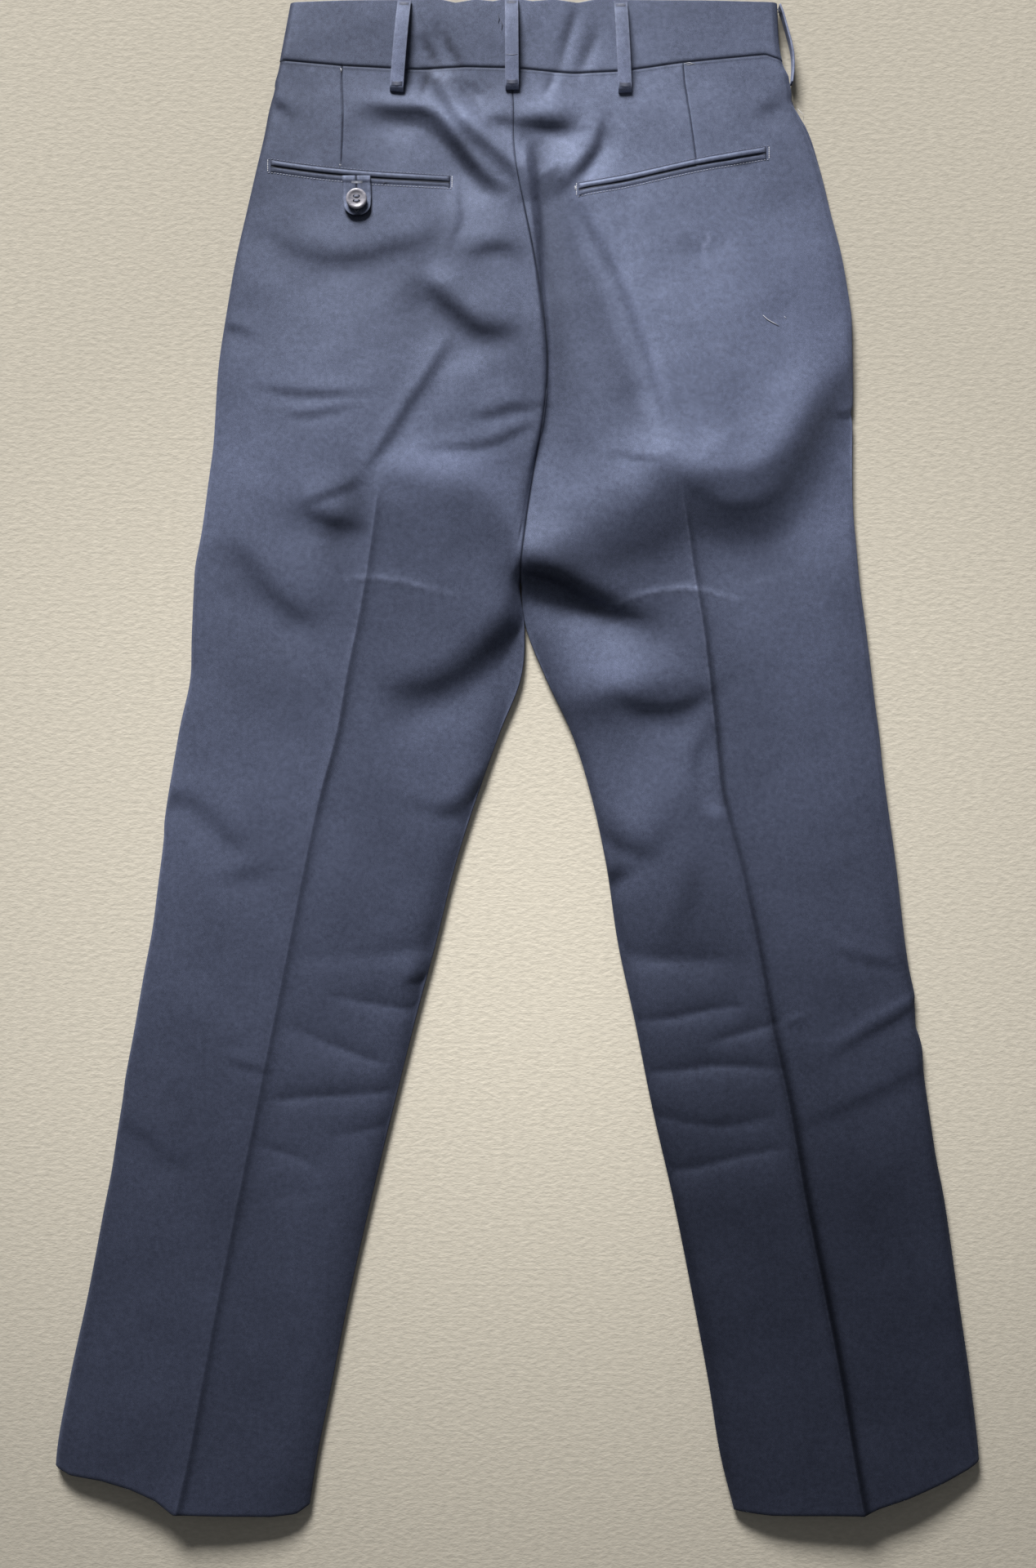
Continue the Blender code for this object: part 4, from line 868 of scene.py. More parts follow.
def band_points(leg, on_back, rows):
    """Half of the back or front waistband, from its top edge to the waist seam."""
    radius = (EDGE_RADIUS if on_back else FRONT_EDGE_RADIUS) / MM
    cut = BACK_CUT if on_back else FRONT_CUT
    seam_line = leg.waist_seam if on_back else FRONT_WAIST_SEAM
    made = []
    for row in rows:
        foot_ends = WAIST_SEAM_DOWN + straight_through(seam_line, "share", "down", (0, 0.5, 1))
        across, from_outseam, from_inner = panel_columns(leg, row * foot_ends, cut, radius)
        share = from_outseam / (from_outseam + from_inner)
        top = straight_through(TOP_EDGE, "share", "down", share)
        foot_level = WAIST_SEAM_DOWN + straight_through(seam_line, "share", "down", share)
        level = top + (foot_level - 0.5 * SEAM_GAP / MM - top) * row
        above_seam = foot_level - level
        if on_back:
            flat = leg.back_height(across, level) - 0.9 * bell(above_seam, 1.1)
            flat = flat - 0.35 * bell(from_inner, 0.8)
        else:
            flat = 0.5 * BAND_WALL / MM + straight_through(HEIGHTS, "down", "front_lift", level)
        seam, foot = side_seam(level, 1 if on_back else -1)
        height = foot + (flat - foot) * round_edge(from_outseam, radius)
        height[0] = seam[0]
        made.append(np.stack([across, level, height], axis=-1))
    return np.array(made)


def add_object(name, mesh, finish):
    mesh.materials.append(finish)
    obj = bpy.data.objects.new(name, mesh)
    bpy.context.scene.collection.objects.link(obj)
    return obj


def grid_mesh(name, points, finish, marks_and_painted_shading=None, tone_and_painted_shading=None):
    """A grid of points, (across, down, height) in millimetres, as one open sheet."""
    rows, columns = points.shape[:2]
    corners = place(points[..., 0], points[..., 1], points[..., 2]).reshape(-1, 3)
    first = (np.arange(rows - 1)[:, None] * columns + np.arange(columns - 1)).ravel()
    faces = np.stack([first, first + 1, first + 1 + columns, first + columns], axis=1)
    a, b, d = (corners[faces[:, i]] for i in (0, 1, 3))
    if np.cross(b - a, d - a)[:, 2].sum() <= 0:
        faces = faces[:, ::-1]
    mesh = bpy.data.meshes.new(name)
    mesh.from_pydata(corners.tolist(), [], faces.tolist())
    mesh.shade_smooth()
    # Each point keeps its painted light and shade, and its marks with more painted light and shade, as
    # attributes
    kept = mesh.attributes.new("tone_and_painted_shading", "FLOAT", "POINT")
    tone_and_painted_shading = painted_shading_of(points[..., 0], points[..., 1]) if tone_and_painted_shading is None else tone_and_painted_shading
    kept.data.foreach_set("value", np.asarray(tone_and_painted_shading, np.float32).ravel())
    if marks_and_painted_shading is not None:
        kept = mesh.attributes.new("marks_and_painted_shading", "FLOAT", "POINT")
        kept.data.foreach_set("value", np.asarray(marks_and_painted_shading, np.float32).ravel())
    return add_object(name, mesh, finish)


def thicken(obj, wall, rounded=0.0, segments=2):
    cloth = obj.modifiers.new("Cloth", "SOLIDIFY")
    cloth.thickness = wall
    cloth.offset = 0
    if rounded:
        edge = obj.modifiers.new("Folded edge", "BEVEL")
        edge.width = rounded
        edge.segments = segments
        edge.limit_method = "ANGLE"
        edge.angle_limit = math.radians(55)
        edge.use_clamp_overlap = True
    return obj


def dress(obj, nodes):
    """Every piece is fixed to the one body and stands for its solids."""
    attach(obj, "root")
    if nodes:
        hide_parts(*nodes)
    return obj


def surface_of(obj):
    bpy.context.view_layer.update()
    return BVHTree.FromObject(obj, bpy.context.evaluated_depsgraph_get())


def top_of(trees, across, down, reach=0.0):
    """The highest point of the surfaces near a place of the plan, in millimetres."""
    found = 0.0
    steps = (-reach, 0, reach) if reach else (0,)
    for step_x in steps:
        for step_y in steps:
            start = Vector(place(across + step_x, down + step_y, 100.0))
            for tree in trees:
                hit = tree.ray_cast(start, Vector((0, 0, -1)))
                if hit[0] is not None:
                    found = max(found, hit[0].z / MM)
    return found


class Nodes:
    """Short calls to make and join shader nodes."""

    def __init__(self, name):
        self.made = bpy.data.materials.new(name)
        self.made.use_nodes = True
        self.tree = self.made.node_tree
        self.shader = self.tree.nodes["Principled BSDF"]
        self.place = self.add("ShaderNodeTexCoord").outputs["Object"]

    def add(self, kind, inputs=None, **settings):
        node = self.tree.nodes.new(kind)
        for key, value in settings.items():
            setattr(node, key, value)
        for key, value in (inputs or {}).items():
            self.feed(node.inputs[key], value)
        return node

    def feed(self, socket, value):
        if isinstance(value, bpy.types.NodeSocket):
            self.tree.links.new(value, socket)
        else:
            socket.default_value = value

    def math(self, operation, first, second):
        node = self.add("ShaderNodeMath", operation=operation)
        self.feed(node.inputs[0], first)
        self.feed(node.inputs[1], second)
        return node.outputs[0]

    def noise(self, scale, detail, rough, at=None):
        node = self.add("ShaderNodeTexNoise", {"Scale": scale, "Detail": detail, "Roughness": rough})
        self.feed(node.inputs["Vector"], at or self.place)
        return node.outputs[0]

    def between(self, value, low, high, to_low, to_high):
        node = self.add("ShaderNodeMapRange")
        for socket, number in zip(node.inputs[:5], (value, low, high, to_low, to_high)):
            self.feed(socket, number)
        return node.outputs[0]

    def mix(self, share, first, second):
        node = self.add("ShaderNodeMix", data_type="RGBA")
        for socket, value in ((0, share), (6, first), (7, second)):
            self.feed(node.inputs[socket], value)
        return node.outputs[2]

    def product(self, first, *factors):
        for factor in factors:
            first = self.math("MULTIPLY", first, factor)
        return first

    def vector(self, operation, inputs, output=0):
        return self.add("ShaderNodeVectorMath", inputs, operation=operation).outputs[output]

    def scaled(self, colour, scale):
        return self.vector("SCALE", {0: colour, "Scale": scale})

    def attribute(self, name):
        return self.add("ShaderNodeAttribute", attribute_name=name).outputs["Fac"]

    def level(self):
        return self.add("ShaderNodeSeparateXYZ", {"Vector": self.place}).outputs["Y"]

    def finish(self, inputs, height, strength, distance):
        """Feed the shader's inputs, numbers on its own sockets, and a relief; returns the material."""
        for key, value in inputs.items():
            self.feed(self.shader.inputs[key], value)
        bump = self.add("ShaderNodeBump", {"Height": height, "Strength": strength, "Distance": distance})
        self.feed(self.shader.inputs["Normal"], bump.outputs[0])
        return self.made


# Tint of the cloth's gloss
GLOSS = (0.58, 0.68, 1.0)
TWILL_DEGREES = 52
TWILL_SCALE = 330.0
FIBRE_SCALE = 1500.0
SLUB_SCALE = 260.0
MOTTLE_SCALE = 14.0
HORN_DARK = (0.17, 0.17, 0.205, 1)
HORN_PALE = (0.30, 0.29, 0.335, 1)
FELT_DARK = (0.54, 0.50, 0.42, 1)
FELT_PALE = (0.66, 0.61, 0.515, 1)


def serge(name, colour, light, roughness):
    """Wool serge: a fine diagonal twill, flecks, a soft mottle, chalk marks, and painted light and shade from
    its points, darker towards the hems.
    """
    nodes = Nodes(name)
    turn = {"Vector": nodes.place, "Rotation": (0, 0, math.radians(TWILL_DEGREES))}
    turned = nodes.add("ShaderNodeMapping", turn).outputs[0]
    wave = {"Vector": turned, "Scale": TWILL_SCALE, "Distortion": 1.2, "Detail": 1.0}
    twill = nodes.add("ShaderNodeTexWave", wave, wave_type="BANDS").outputs["Fac"]
    fibre = nodes.noise(FIBRE_SCALE, 2.0, 0.6)
    slub = nodes.noise(SLUB_SCALE, 3.0, 0.6)
    mottle = nodes.noise(MOTTLE_SCALE, 4.0, 0.6)
    marks_and_painted_shading = nodes.attribute("marks_and_painted_shading")
    for chalk in CHALK_MARKS:
        centre = (chalk.across * MM, LENGTH / 2 - chalk.down * MM, 0)
        size = (1 / (chalk.wide * MM), 1 / (chalk.tall * MM), 0)
        off = nodes.vector("MULTIPLY", {0: nodes.vector("SUBTRACT", {0: nodes.place, 1: centre}), 1: size})
        away = nodes.vector("LENGTH", {0: off}, "Value")
        marks_and_painted_shading = nodes.math("ADD", marks_and_painted_shading, nodes.between(away, 0.1, 1.3, chalk.amount, 0.0))
    tone_and_painted_shading = nodes.product(
        nodes.between(fibre, 0.25, 0.75, 0.68, 1.34),
        nodes.between(slub, 0.3, 0.7, 0.85, 1.15),
        nodes.between(mottle, 0.3, 0.7, 0.88, 1.12),
        nodes.between(twill, 0.0, 1.0, 0.88, 1.11),
        # Painted shade: darker towards the hems and paler towards the waist
        nodes.between(nodes.level(), -0.56, 0.40, 0.85, 1.08),
        nodes.math("ADD", nodes.attribute("tone_and_painted_shading"), 1.0),
        nodes.between(marks_and_painted_shading, -1.0, 0.0, 0.15, 1.0),
    )
    # Chalk marks and painted highlights turn the colour towards the pale colour
    chalk_and_painted_light = nodes.product(nodes.between(marks_and_painted_shading, 0.0, 1.0, 0.0, 1.0), nodes.between(slub, 0.35, 0.6, 0.35, 1.0))
    # Matt when seen from low down, so that the window's mirror image doesn't whiten the cloth
    facing = nodes.add("ShaderNodeLayerWeight", {"Blend": 0.5}).outputs["Facing"]
    relief = nodes.math("MULTIPLY", twill, 0.00002)
    relief = nodes.math("ADD", relief, nodes.math("MULTIPLY", fibre, 0.000035))
    relief = nodes.math("ADD", relief, nodes.math("MULTIPLY", slub, 0.00004))
    inputs = {
        # The painted light and shade brighten and darken the colour and the gloss alike
        "Base Color": nodes.mix(chalk_and_painted_light, nodes.scaled(colour, tone_and_painted_shading), (*light, 1)),
        "Specular Tint": nodes.scaled(GLOSS, tone_and_painted_shading),
        "Roughness": nodes.between(facing, 0.16, 0.5, roughness, 1.0),
        "IOR": 1.65,
        "Specular IOR Level": 1.0,
        "Sheen Weight": 0.04,
        "Sheen Roughness": 0.45,
        "Sheen Tint": (0.60, 0.72, 1.0, 1),
    }
    return nodes.finish(inputs, relief, 1.0, 1.0)


def thread_material(name, colour):
    nodes = Nodes(name)
    ply = nodes.noise(2600.0, 2.0, 0.6)
    inputs = {"Base Color": nodes.scaled(colour, nodes.between(ply, 0.3, 0.7, 0.75, 1.2)), "Roughness": 0.6}
    return nodes.finish(inputs, ply, 0.4, 0.00005)


def horn_material():
    """The button: dark polyester made to look like horn, with soft streaks and a half gloss."""
    nodes = Nodes("navy_horn")
    streak = nodes.add("ShaderNodeMapping", {"Vector": nodes.place, "Scale": (1.0, 4.0, 1.0)}).outputs[0]
    grain = nodes.noise(220.0, 3.0, 0.6, at=streak)
    inputs = {
        "Base Color": nodes.mix(nodes.between(grain, 0.35, 0.65, 0.0, 1.0), HORN_DARK, HORN_PALE),
        "Roughness": nodes.between(grain, 0.3, 0.7, 0.32, 0.44),
        "Coat Weight": 0.2,
        "Coat Roughness": 0.12,
    }
    return nodes.finish(inputs, grain, 0.25, 0.0001)


def floor_material():
    """A pale, fine felt, with painted light and shade: paler round the middle, darker towards the top, the
    bottom and the edges, and much darker towards the window.
    """
    nodes = Nodes("pale_floor")
    combed = nodes.add("ShaderNodeMapping", {"Vector": nodes.place, "Scale": (1.0, 2.0, 1.0)}).outputs[0]
    felt = nodes.noise(170.0, 4.0, 0.65, at=combed)
    level = nodes.level()
    off = nodes.vector("DISTANCE", {0: nodes.place, 1: (0, -0.15, 0)}, "Value")
    shade = nodes.product(
        nodes.between(level, 0.1, 0.56, 1.0, 0.85),
        nodes.between(level, -0.58, -0.25, 0.86, 1.0),
        nodes.between(off, 0.05, 0.55, 1.12, 0.80),
        # The floor darkens where it comes close to the window, far outside the photograph
        nodes.between(level, 0.62, 3.0, 1.0, 0.25),
    )
    colour = nodes.mix(nodes.between(felt, 0.3, 0.7, 0.0, 1.0), FELT_DARK, FELT_PALE)
    return nodes.finish({"Base Color": nodes.scaled(colour, shade), "Roughness": 0.95}, felt, 0.55, 0.0008)


SERGE = serge("navy_serge", (0.022, 0.025, 0.044), (0.16, 0.18, 0.27), 0.55)
# The loops' serge: the same cloth as the panels, painted paler, as painted light on the standing loops
STRAP_SERGE_PAINTED_PALER = serge("navy_serge_strap", (0.066, 0.074, 0.116), (0.26, 0.28, 0.37), 0.62)
SEWING = thread_material("blue_grey_thread", (0.20, 0.22, 0.31))
DARK_SEWING = thread_material("navy_thread", (0.020, 0.024, 0.045))
PALE_SEWING = thread_material("pale_blue_thread", (0.34, 0.36, 0.44))
WHITE_SEWING = thread_material("white_thread", (0.62, 0.63, 0.68))
HORN = horn_material()


def panels():
    """The four leg panels, each one sheet of cloth with its hem turned up inside."""
    made = {}
    for side, leg in LEGS.items():
        points, marks_and_painted_shading = back_panel_points(leg)
        turned = hem_turn(points, 0.985, -1)
        marks_and_painted_shading = np.concatenate([marks_and_painted_shading, np.zeros((len(turned) - len(points), points.shape[1]))])
        back = grid_mesh(f"cloth_back_{side}", turned, SERGE, marks_and_painted_shading=marks_and_painted_shading)
        thicken(back, PANEL_CLOTH)
        dress(back, [f"back_{side}"])
        turned = hem_turn(front_panel_points(leg), 0.955, 1)
        front = grid_mesh(f"cloth_front_{side}", turned, SERGE)
        thicken(front, PANEL_CLOTH)
        dress(front, [f"front_{side}"])
        made[side] = (back, front)
    return made


def bands():
    """The waistband in four pieces, firm and folded over at its top edge."""
    rows = stepped((0, 0.02, 2), (0.02, 0.96, 26), (0.96, 1, 4))
    front_rows = stepped((0, 1, 8))
    made = {}
    for side, leg in LEGS.items():
        back = grid_mesh(f"band_back_{side}", band_points(leg, True, rows), SERGE)
        thicken(back, BAND_WALL * 0.9, 0.0006)
        dress(back, [f"waistband_back_{side}"])
        front = grid_mesh(f"band_front_{side}", band_points(leg, False, front_rows), SERGE)
        thicken(front, BAND_WALL * 0.9, 0.0005)
        dress(front, [f"waistband_front_{side}"])
        made[side] = (back, front)
    return made


STRAP_COLUMNS = 9


def strap_grid(path, heights, width, crown=0.25):
    """A folded strap: a path in the plan with heights, as rows across its width."""
    path = np.array(path, float)
    along = np.gradient(path, axis=0)
    along /= np.linalg.norm(along, axis=1)[:, None]
    side = np.stack([-along[:, 1], along[:, 0]], axis=1)
    places = np.sin(np.linspace(-math.pi / 2, math.pi / 2, STRAP_COLUMNS))
    points, marks_and_painted_shading = [], []
    for at, off, height in zip(path, side, heights):
        across = at[0] + off[0] * places * width / 2
        down = at[1] + off[1] * places * width / 2
        points.append(np.stack([across, down, height + crown * (1 - places**2) - crown], axis=-1))
        # Paler along the folded edges, as wear and painted highlight
        marks_and_painted_shading.append(0.30 * np.abs(places) ** 6)
    return np.array(points), np.array(marks_and_painted_shading)


# Painted light and shade along a belt loop, from its top to its foot: darker over the arch's top, paler
# towards the foot
LOOP_PAINTED_SHADING_AT = [0, 0.12, 0.35, 0.6, 0.8, 0.93, 1]
LOOP_PAINTED_SHADING = [-0.45, -0.40, -0.30, 0.0, 0.5, 0.9, 0.4]


def loop_across(loop, share):
    return loop.across_top + (loop.across_foot - loop.across_top) * share


def back_loop(loop, trees):
    """A strap from the top edge to below the waist seam, its foot turned down to the cloth."""
    shares = np.concatenate([np.linspace(0, 0.9, 40), np.linspace(0.9, 1, 12)[1:]])
    wall = STRAP_WALL / MM
    length = LOOP_LENGTH / MM
    down = loop.top + shares * length
    across = loop_across(loop, shares)
    knots = np.array([0, 0.05, 0.14, 0.26, 0.4, 0.55, 0.7, 0.82, 0.92, 1])
    ground = [
        max(top_of(trees, loop_across(loop, knot) + off, loop.top + knot * length, 2.0) for off in (-5, 0, 5))
        for knot in knots
    ]
    arch = np.clip(np.sin(math.pi * shares), 0, 1) ** 0.6 * LOOP_ARCH / MM
    height = np.interp(shares, knots, ground) + SEAM_GAP / MM + wall / 2 + arch
    foot = np.clip((shares - 0.955) / 0.045, 0, 1)
    height = height - 1.3 * foot**3
    points, marks_and_painted_shading = strap_grid(np.stack([across, down], axis=1), height, LOOP_WIDTH / MM)
    # Painted light at the foot, and the painted light and shade along the loop
    marks_and_painted_shading = marks_and_painted_shading + 0.10 * bell(1 - shares, 0.16)[:, None]
    tone_and_painted_shading = np.interp(shares, LOOP_PAINTED_SHADING_AT, LOOP_PAINTED_SHADING)[:, None] * np.ones(points.shape[:2])
    strap = grid_mesh(f"strap_{loop.name}", points, STRAP_SERGE_PAINTED_PALER, marks_and_painted_shading=marks_and_painted_shading, tone_and_painted_shading=tone_and_painted_shading)
    thicken(strap, STRAP_WALL, 0.0006, 3)
    return dress(strap, [loop.name])


def hidden_loop(loop):
    """A strap pressed flat between the front waistband and the surface."""
    shares = np.linspace(0, 1, 16)
    across = loop_across(loop, shares)
    down = loop.top + shares * LOOP_LENGTH / MM
    height = np.full(len(shares), 0.5 * PANEL_WALL / MM)
    points, marks_and_painted_shading = strap_grid(np.stack([across, down], axis=1), height, LOOP_WIDTH / MM, 0.0)
    strap = grid_mesh(f"strap_{loop.name}", points, STRAP_SERGE_PAINTED_PALER, marks_and_painted_shading=marks_and_painted_shading)
    thicken(strap, PANEL_WALL * 0.95, 0.0004, 2)
    return dress(strap, [loop.name])


def side_loop():
    """The right side loop, which stands on its edge beside the waistband."""
    knots = np.array(SIDE_LOOP)
    lengths = lengths_along(knots)
    at = np.linspace(0, lengths[-1], 40)
    path = np.stack([np.interp(at, lengths, knots[:, i]) for i in (0, 1)], axis=1)
    smooth = path.copy()
    for _ in range(6):
        smooth[1:-1] = 0.25 * smooth[:-2] + 0.5 * smooth[1:-1] + 0.25 * smooth[2:]
    levels = np.linspace(0, 1, STRAP_COLUMNS)
    low = SIDE_LOOP_FOOT / MM
    wide = SIDE_LOOP_WIDTH / MM
    points = []
    for x, y in smooth:
        bow = 0.35 * np.sin(math.pi * levels)
        points.append(np.stack([x + bow, np.full(STRAP_COLUMNS, y), low + wide * levels], axis=-1))
    # Paler along the folded edges, as wear and painted highlight
    marks_and_painted_shading = np.repeat((0.3 * np.abs(2 * levels - 1) ** 6)[None, :], len(points), axis=0)
    strap = grid_mesh("strap_belt_loop_side_right", np.array(points), STRAP_SERGE_PAINTED_PALER, marks_and_painted_shading=marks_and_painted_shading)
    thicken(strap, STRAP_WALL, 0.0006, 3)
    return dress(strap, ["belt_loop_side_right"])


def mouth_down(mouth, across):
    mouth = sorted(mouth)
    return np.interp(across, [p[0] for p in mouth], [p[1] for p in mouth])


def mouth_path(mouth, count):
    ends = mouth[0][0], mouth[-1][0]
    across = np.linspace(*ends, count)
    knots = sorted(mouth)
    rows = [Offset(p[0], p[1]) for p in knots]
    return across, curve_through(rows, "share", "down", across)


# Each welt's section: how far above the mouth line, and how high over the panel
UPPER_WELT = [(4.6, -0.60), (4.2, -0.20), (3.5, 0.12), (2.3, 0.30), (1.1, 0.30), (0.5, 0.10), (0.25, -0.15)]
# Painted shade across each welt's section, darkest at the mouth and along the upper welt's seam
UPPER_WELT_SHADE = [-0.9, -0.5, -0.24, -0.18, -0.18, -0.8, -1.0]
LOWER_WELT = [(0.05, -0.50), (-0.8, -0.50), (-1.4, -0.32), (-2.6, -0.25), (-3.8, -0.40), (-4.5, -0.62)]
LOWER_WELT_SHADE = [-1.0, -1.0, -0.4, -0.10, -0.04, 0.0]


def welt(side, which, mouth, section, tree):
    """A folded strip along a pocket mouth, rounded like piping, laid on the panel."""
    across, down = mouth_path(mouth, 90)
    outside = 2 if which == "upper" else -2
    ground = np.array([top_of([tree], x, y - outside) for x, y in zip(across, down)])
    ends = np.clip(np.minimum(np.arange(90), np.arange(90)[::-1]) / 3, 0, 1) ** 0.5
    points = []
    for up, over in section:
        points.append(np.stack([across, down - up, ground + 0.3 + over * ends], axis=-1))
    marks_and_painted_shading = UPPER_WELT_SHADE if which == "upper" else LOWER_WELT_SHADE
    marks_and_painted_shading = np.repeat(np.array(marks_and_painted_shading)[:, None], len(across), axis=1)
    strip = grid_mesh(f"{which}_welt_{side}", np.array(points), SERGE, marks_and_painted_shading=marks_and_painted_shading)
    thicken(strip, 0.0006, 0.0002, 1)
    return dress(strip, [f"pocket_{side}_welt_{which}"])


def pocket_tab(trees):
    """The tab that comes out of the pocket mouth, with a seam down its middle and a rounded point."""
    start = float(mouth_down(LEFT_MOUTH, TAB_ACROSS))
    below = stepped((TAB[0].below, TAB_ROUNDS_FROM, 25), (TAB_ROUNDS_FROM, TAB_ENDS, 17))
    width = straight_through(TAB, "below", "width", below)
    rounded = np.clip((below - TAB_ROUNDS_FROM) / (TAB_TIP - TAB_ROUNDS_FROM), 0, 1)
    tip = TAB[-1].width * np.sqrt(np.clip(1 - rounded**2.2, 0.02, 1))
    width = np.where(below > TAB_ROUNDS_FROM, tip, width)
    shares = np.sin(np.linspace(-math.pi / 2, math.pi / 2, TAB_COLUMNS))
    points, marks_and_painted_shading = [], []
    for off, wide in zip(below, width):
        middle = TAB_ACROSS + TAB_LEAN * off
        across = middle + shares * wide / 2
        ground = max(top_of(trees, x, start + off) for x in (across[0], middle, across[-1]))
        height = ground + SEAM_GAP / MM + 0.5 * STRAP_WALL / MM + 0.9 * smooth_step((off - 12) / 18)
        seam = bell(across - middle, 0.45) * (off < 12)
        crown = 0.25 * (1 - shares**2)
        down = np.full(TAB_COLUMNS, start + off)
        points.append(np.stack([across, down, height + crown - 0.55 * seam], axis=-1))
        # Paler all over, with painted light along the edges and round the tip, and painted shade at the
        # outline and in the middle seam
        edge = bell(np.abs(shares) - 0.84, 0.07) + 0.6 * bell(off - 28.4, 0.7)
        marks_and_painted_shading.append(0.05 + (0.22 if off < 22 else 0.45) * edge - 0.55 * np.abs(shares) ** 30 - 0.8 * seam)
    tab = grid_mesh("tab_left", np.array(points), SERGE, marks_and_painted_shading=np.array(marks_and_painted_shading))
    thicken(tab, STRAP_WALL, 0.0006, 3)
    return dress(tab, ["pocket_left_tab"])


def tube_faces(base, rings, sides):
    """The faces of a tube through rings of points, with a cap at each end."""
    faces = []
    for ring in range(rings - 1):
        near = base + ring * sides
        for side in range(sides):
            after = (side + 1) % sides
            faces.append([near + side, near + after, near + sides + after, near + sides + side])
    last = base + (rings - 1) * sides
    return [*faces, [base + side for side in range(sides)][::-1], [last + side for side in range(sides)]]


def closed_mesh(name, corners, faces, finish):
    """A smooth, closed mesh with its faces turned outwards."""
    mesh = bpy.data.meshes.new(name)
    mesh.from_pydata([tuple(corner) for corner in corners], [], faces)
    mesh.update()
    shape = bmesh.new()
    shape.from_mesh(mesh)
    bmesh.ops.recalc_face_normals(shape, faces=shape.faces)
    shape.to_mesh(mesh)
    shape.free()
    mesh.shade_smooth()
    return add_object(name, mesh, finish)


# The radius of each kind of thread, in metres
HEAVY_THREAD = 0.0004
THICK_THREAD = 0.00028
PLAIN_THREAD = 0.00024
KNOT_THREAD = 0.00022
THIN_THREAD = 0.00020
FINE_THREAD = 0.00018
HAIR_THREAD = 0.00014
THREAD_SIDES = 6


def tubes(name, strands, radius, finish):
    """Round threads through lists of points (across, down, height), joined as one mesh."""
    corners, faces = [], []
    angles = np.linspace(0, 2 * math.pi, THREAD_SIDES, endpoint=False)
    for strand in strands:
        path = place(*np.array(strand, float).T)
        along = np.gradient(path, axis=0)
        along /= np.linalg.norm(along, axis=1)[:, None]
        side = np.cross(along, (0.0, 0.0, 1.0))
        side[np.linalg.norm(side, axis=1) < 1e-6] = (1.0, 0.0, 0.0)
        side /= np.linalg.norm(side, axis=1)[:, None]
        up = np.cross(side, along)
        ends = np.minimum(np.arange(len(path)), np.arange(len(path))[::-1])
        faces += tube_faces(len(corners), len(path), THREAD_SIDES)
        for point, s, u, r in zip(path, side, up, radius * np.where(ends == 0, 0.45, 1.0)):
            corners += [point + r * (math.cos(angle) * s + math.sin(angle) * u) for angle in angles]
    return closed_mesh(name, corners, faces, finish)


def sew(name, strands, radius, finish):
    return dress(tubes(name, strands, radius, finish), [])


STITCH_SINK = 0.30


def stitch_strands(path, trees, pitch, length, lift=0.05):
    """Stitches along a path in the plan: each rises out of the cloth, lies on it and dives again."""
    path = np.array(path, float)
    lengths = lengths_along(path)
    strands = []
    for start in np.arange(0.2, lengths[-1] - length, pitch):
        strand = []
        for share, rise in ((0, -STITCH_SINK), (0.2, lift), (0.5, lift * 2), (0.8, lift), (1, -STITCH_SINK)):
            at = start + share * length
            x = np.interp(at, lengths, path[:, 0])
            y = np.interp(at, lengths, path[:, 1])
            strand.append((x, y, top_of(trees, x, y) + rise))
        strands.append(strand)
    return strands


BUTTON_PROFILE = [
    (0.0, 0.74), (0.30, 0.74), (0.52, 0.76), (0.64, 0.84), (0.72, 0.94), (0.80, 1.0),
    (0.90, 0.97), (0.97, 0.82), (1.0, 0.60), (0.97, 0.36), (0.88, 0.16), (0.70, 0.02), (0.0, 0.0),
]
BUTTON_HOLE = 0.0010
BUTTON_HOLE_OFF = 0.0017


def turned_button():
    """The button's body, its profile turned round its axis."""
    mesh = bpy.data.meshes.new("button_left")
    shape = bmesh.new()
    places = [(out * BUTTON_DIAMETER / 2, 0, up * BUTTON_THICKNESS) for out, up in BUTTON_PROFILE]
    ring = [shape.verts.new(place) for place in places]
    for first, second in zip(ring, ring[1:]):
        shape.edges.new((first, second))
    bmesh.ops.spin(
        shape, geom=shape.verts[:] + shape.edges[:], axis=(0, 0, 1), cent=(0, 0, 0),
        steps=64, angle=2 * math.pi, use_merge=True,
    )
    bmesh.ops.remove_doubles(shape, verts=shape.verts, dist=1e-6)
    bmesh.ops.recalc_face_normals(shape, faces=shape.faces)
    shape.to_mesh(mesh)
    shape.free()
    return add_object("button_left", mesh, HORN)


def drill(obj):
    """Four holes through the button."""
    holes = []
    for across in (-BUTTON_HOLE_OFF, BUTTON_HOLE_OFF):
        for along in (-BUTTON_HOLE_OFF, BUTTON_HOLE_OFF):
            bpy.ops.mesh.primitive_cylinder_add(
                vertices=20, radius=BUTTON_HOLE, depth=0.02, location=(across, along, 0)
            )
            cut = obj.modifiers.new("Hole", "BOOLEAN")
            cut.operation = "DIFFERENCE"
            cut.object = bpy.context.object
            holes.append(cut.object)
    bpy.context.view_layer.update()
    drilled = bpy.data.meshes.new_from_object(obj.evaluated_get(bpy.context.evaluated_depsgraph_get()))
    obj.modifiers.clear()
    obj.data = drilled
    for cutter in holes:
        bpy.data.objects.remove(cutter, do_unlink=True)
    drilled.shade_smooth()
    drilled.set_sharp_from_angle(angle=math.radians(38))


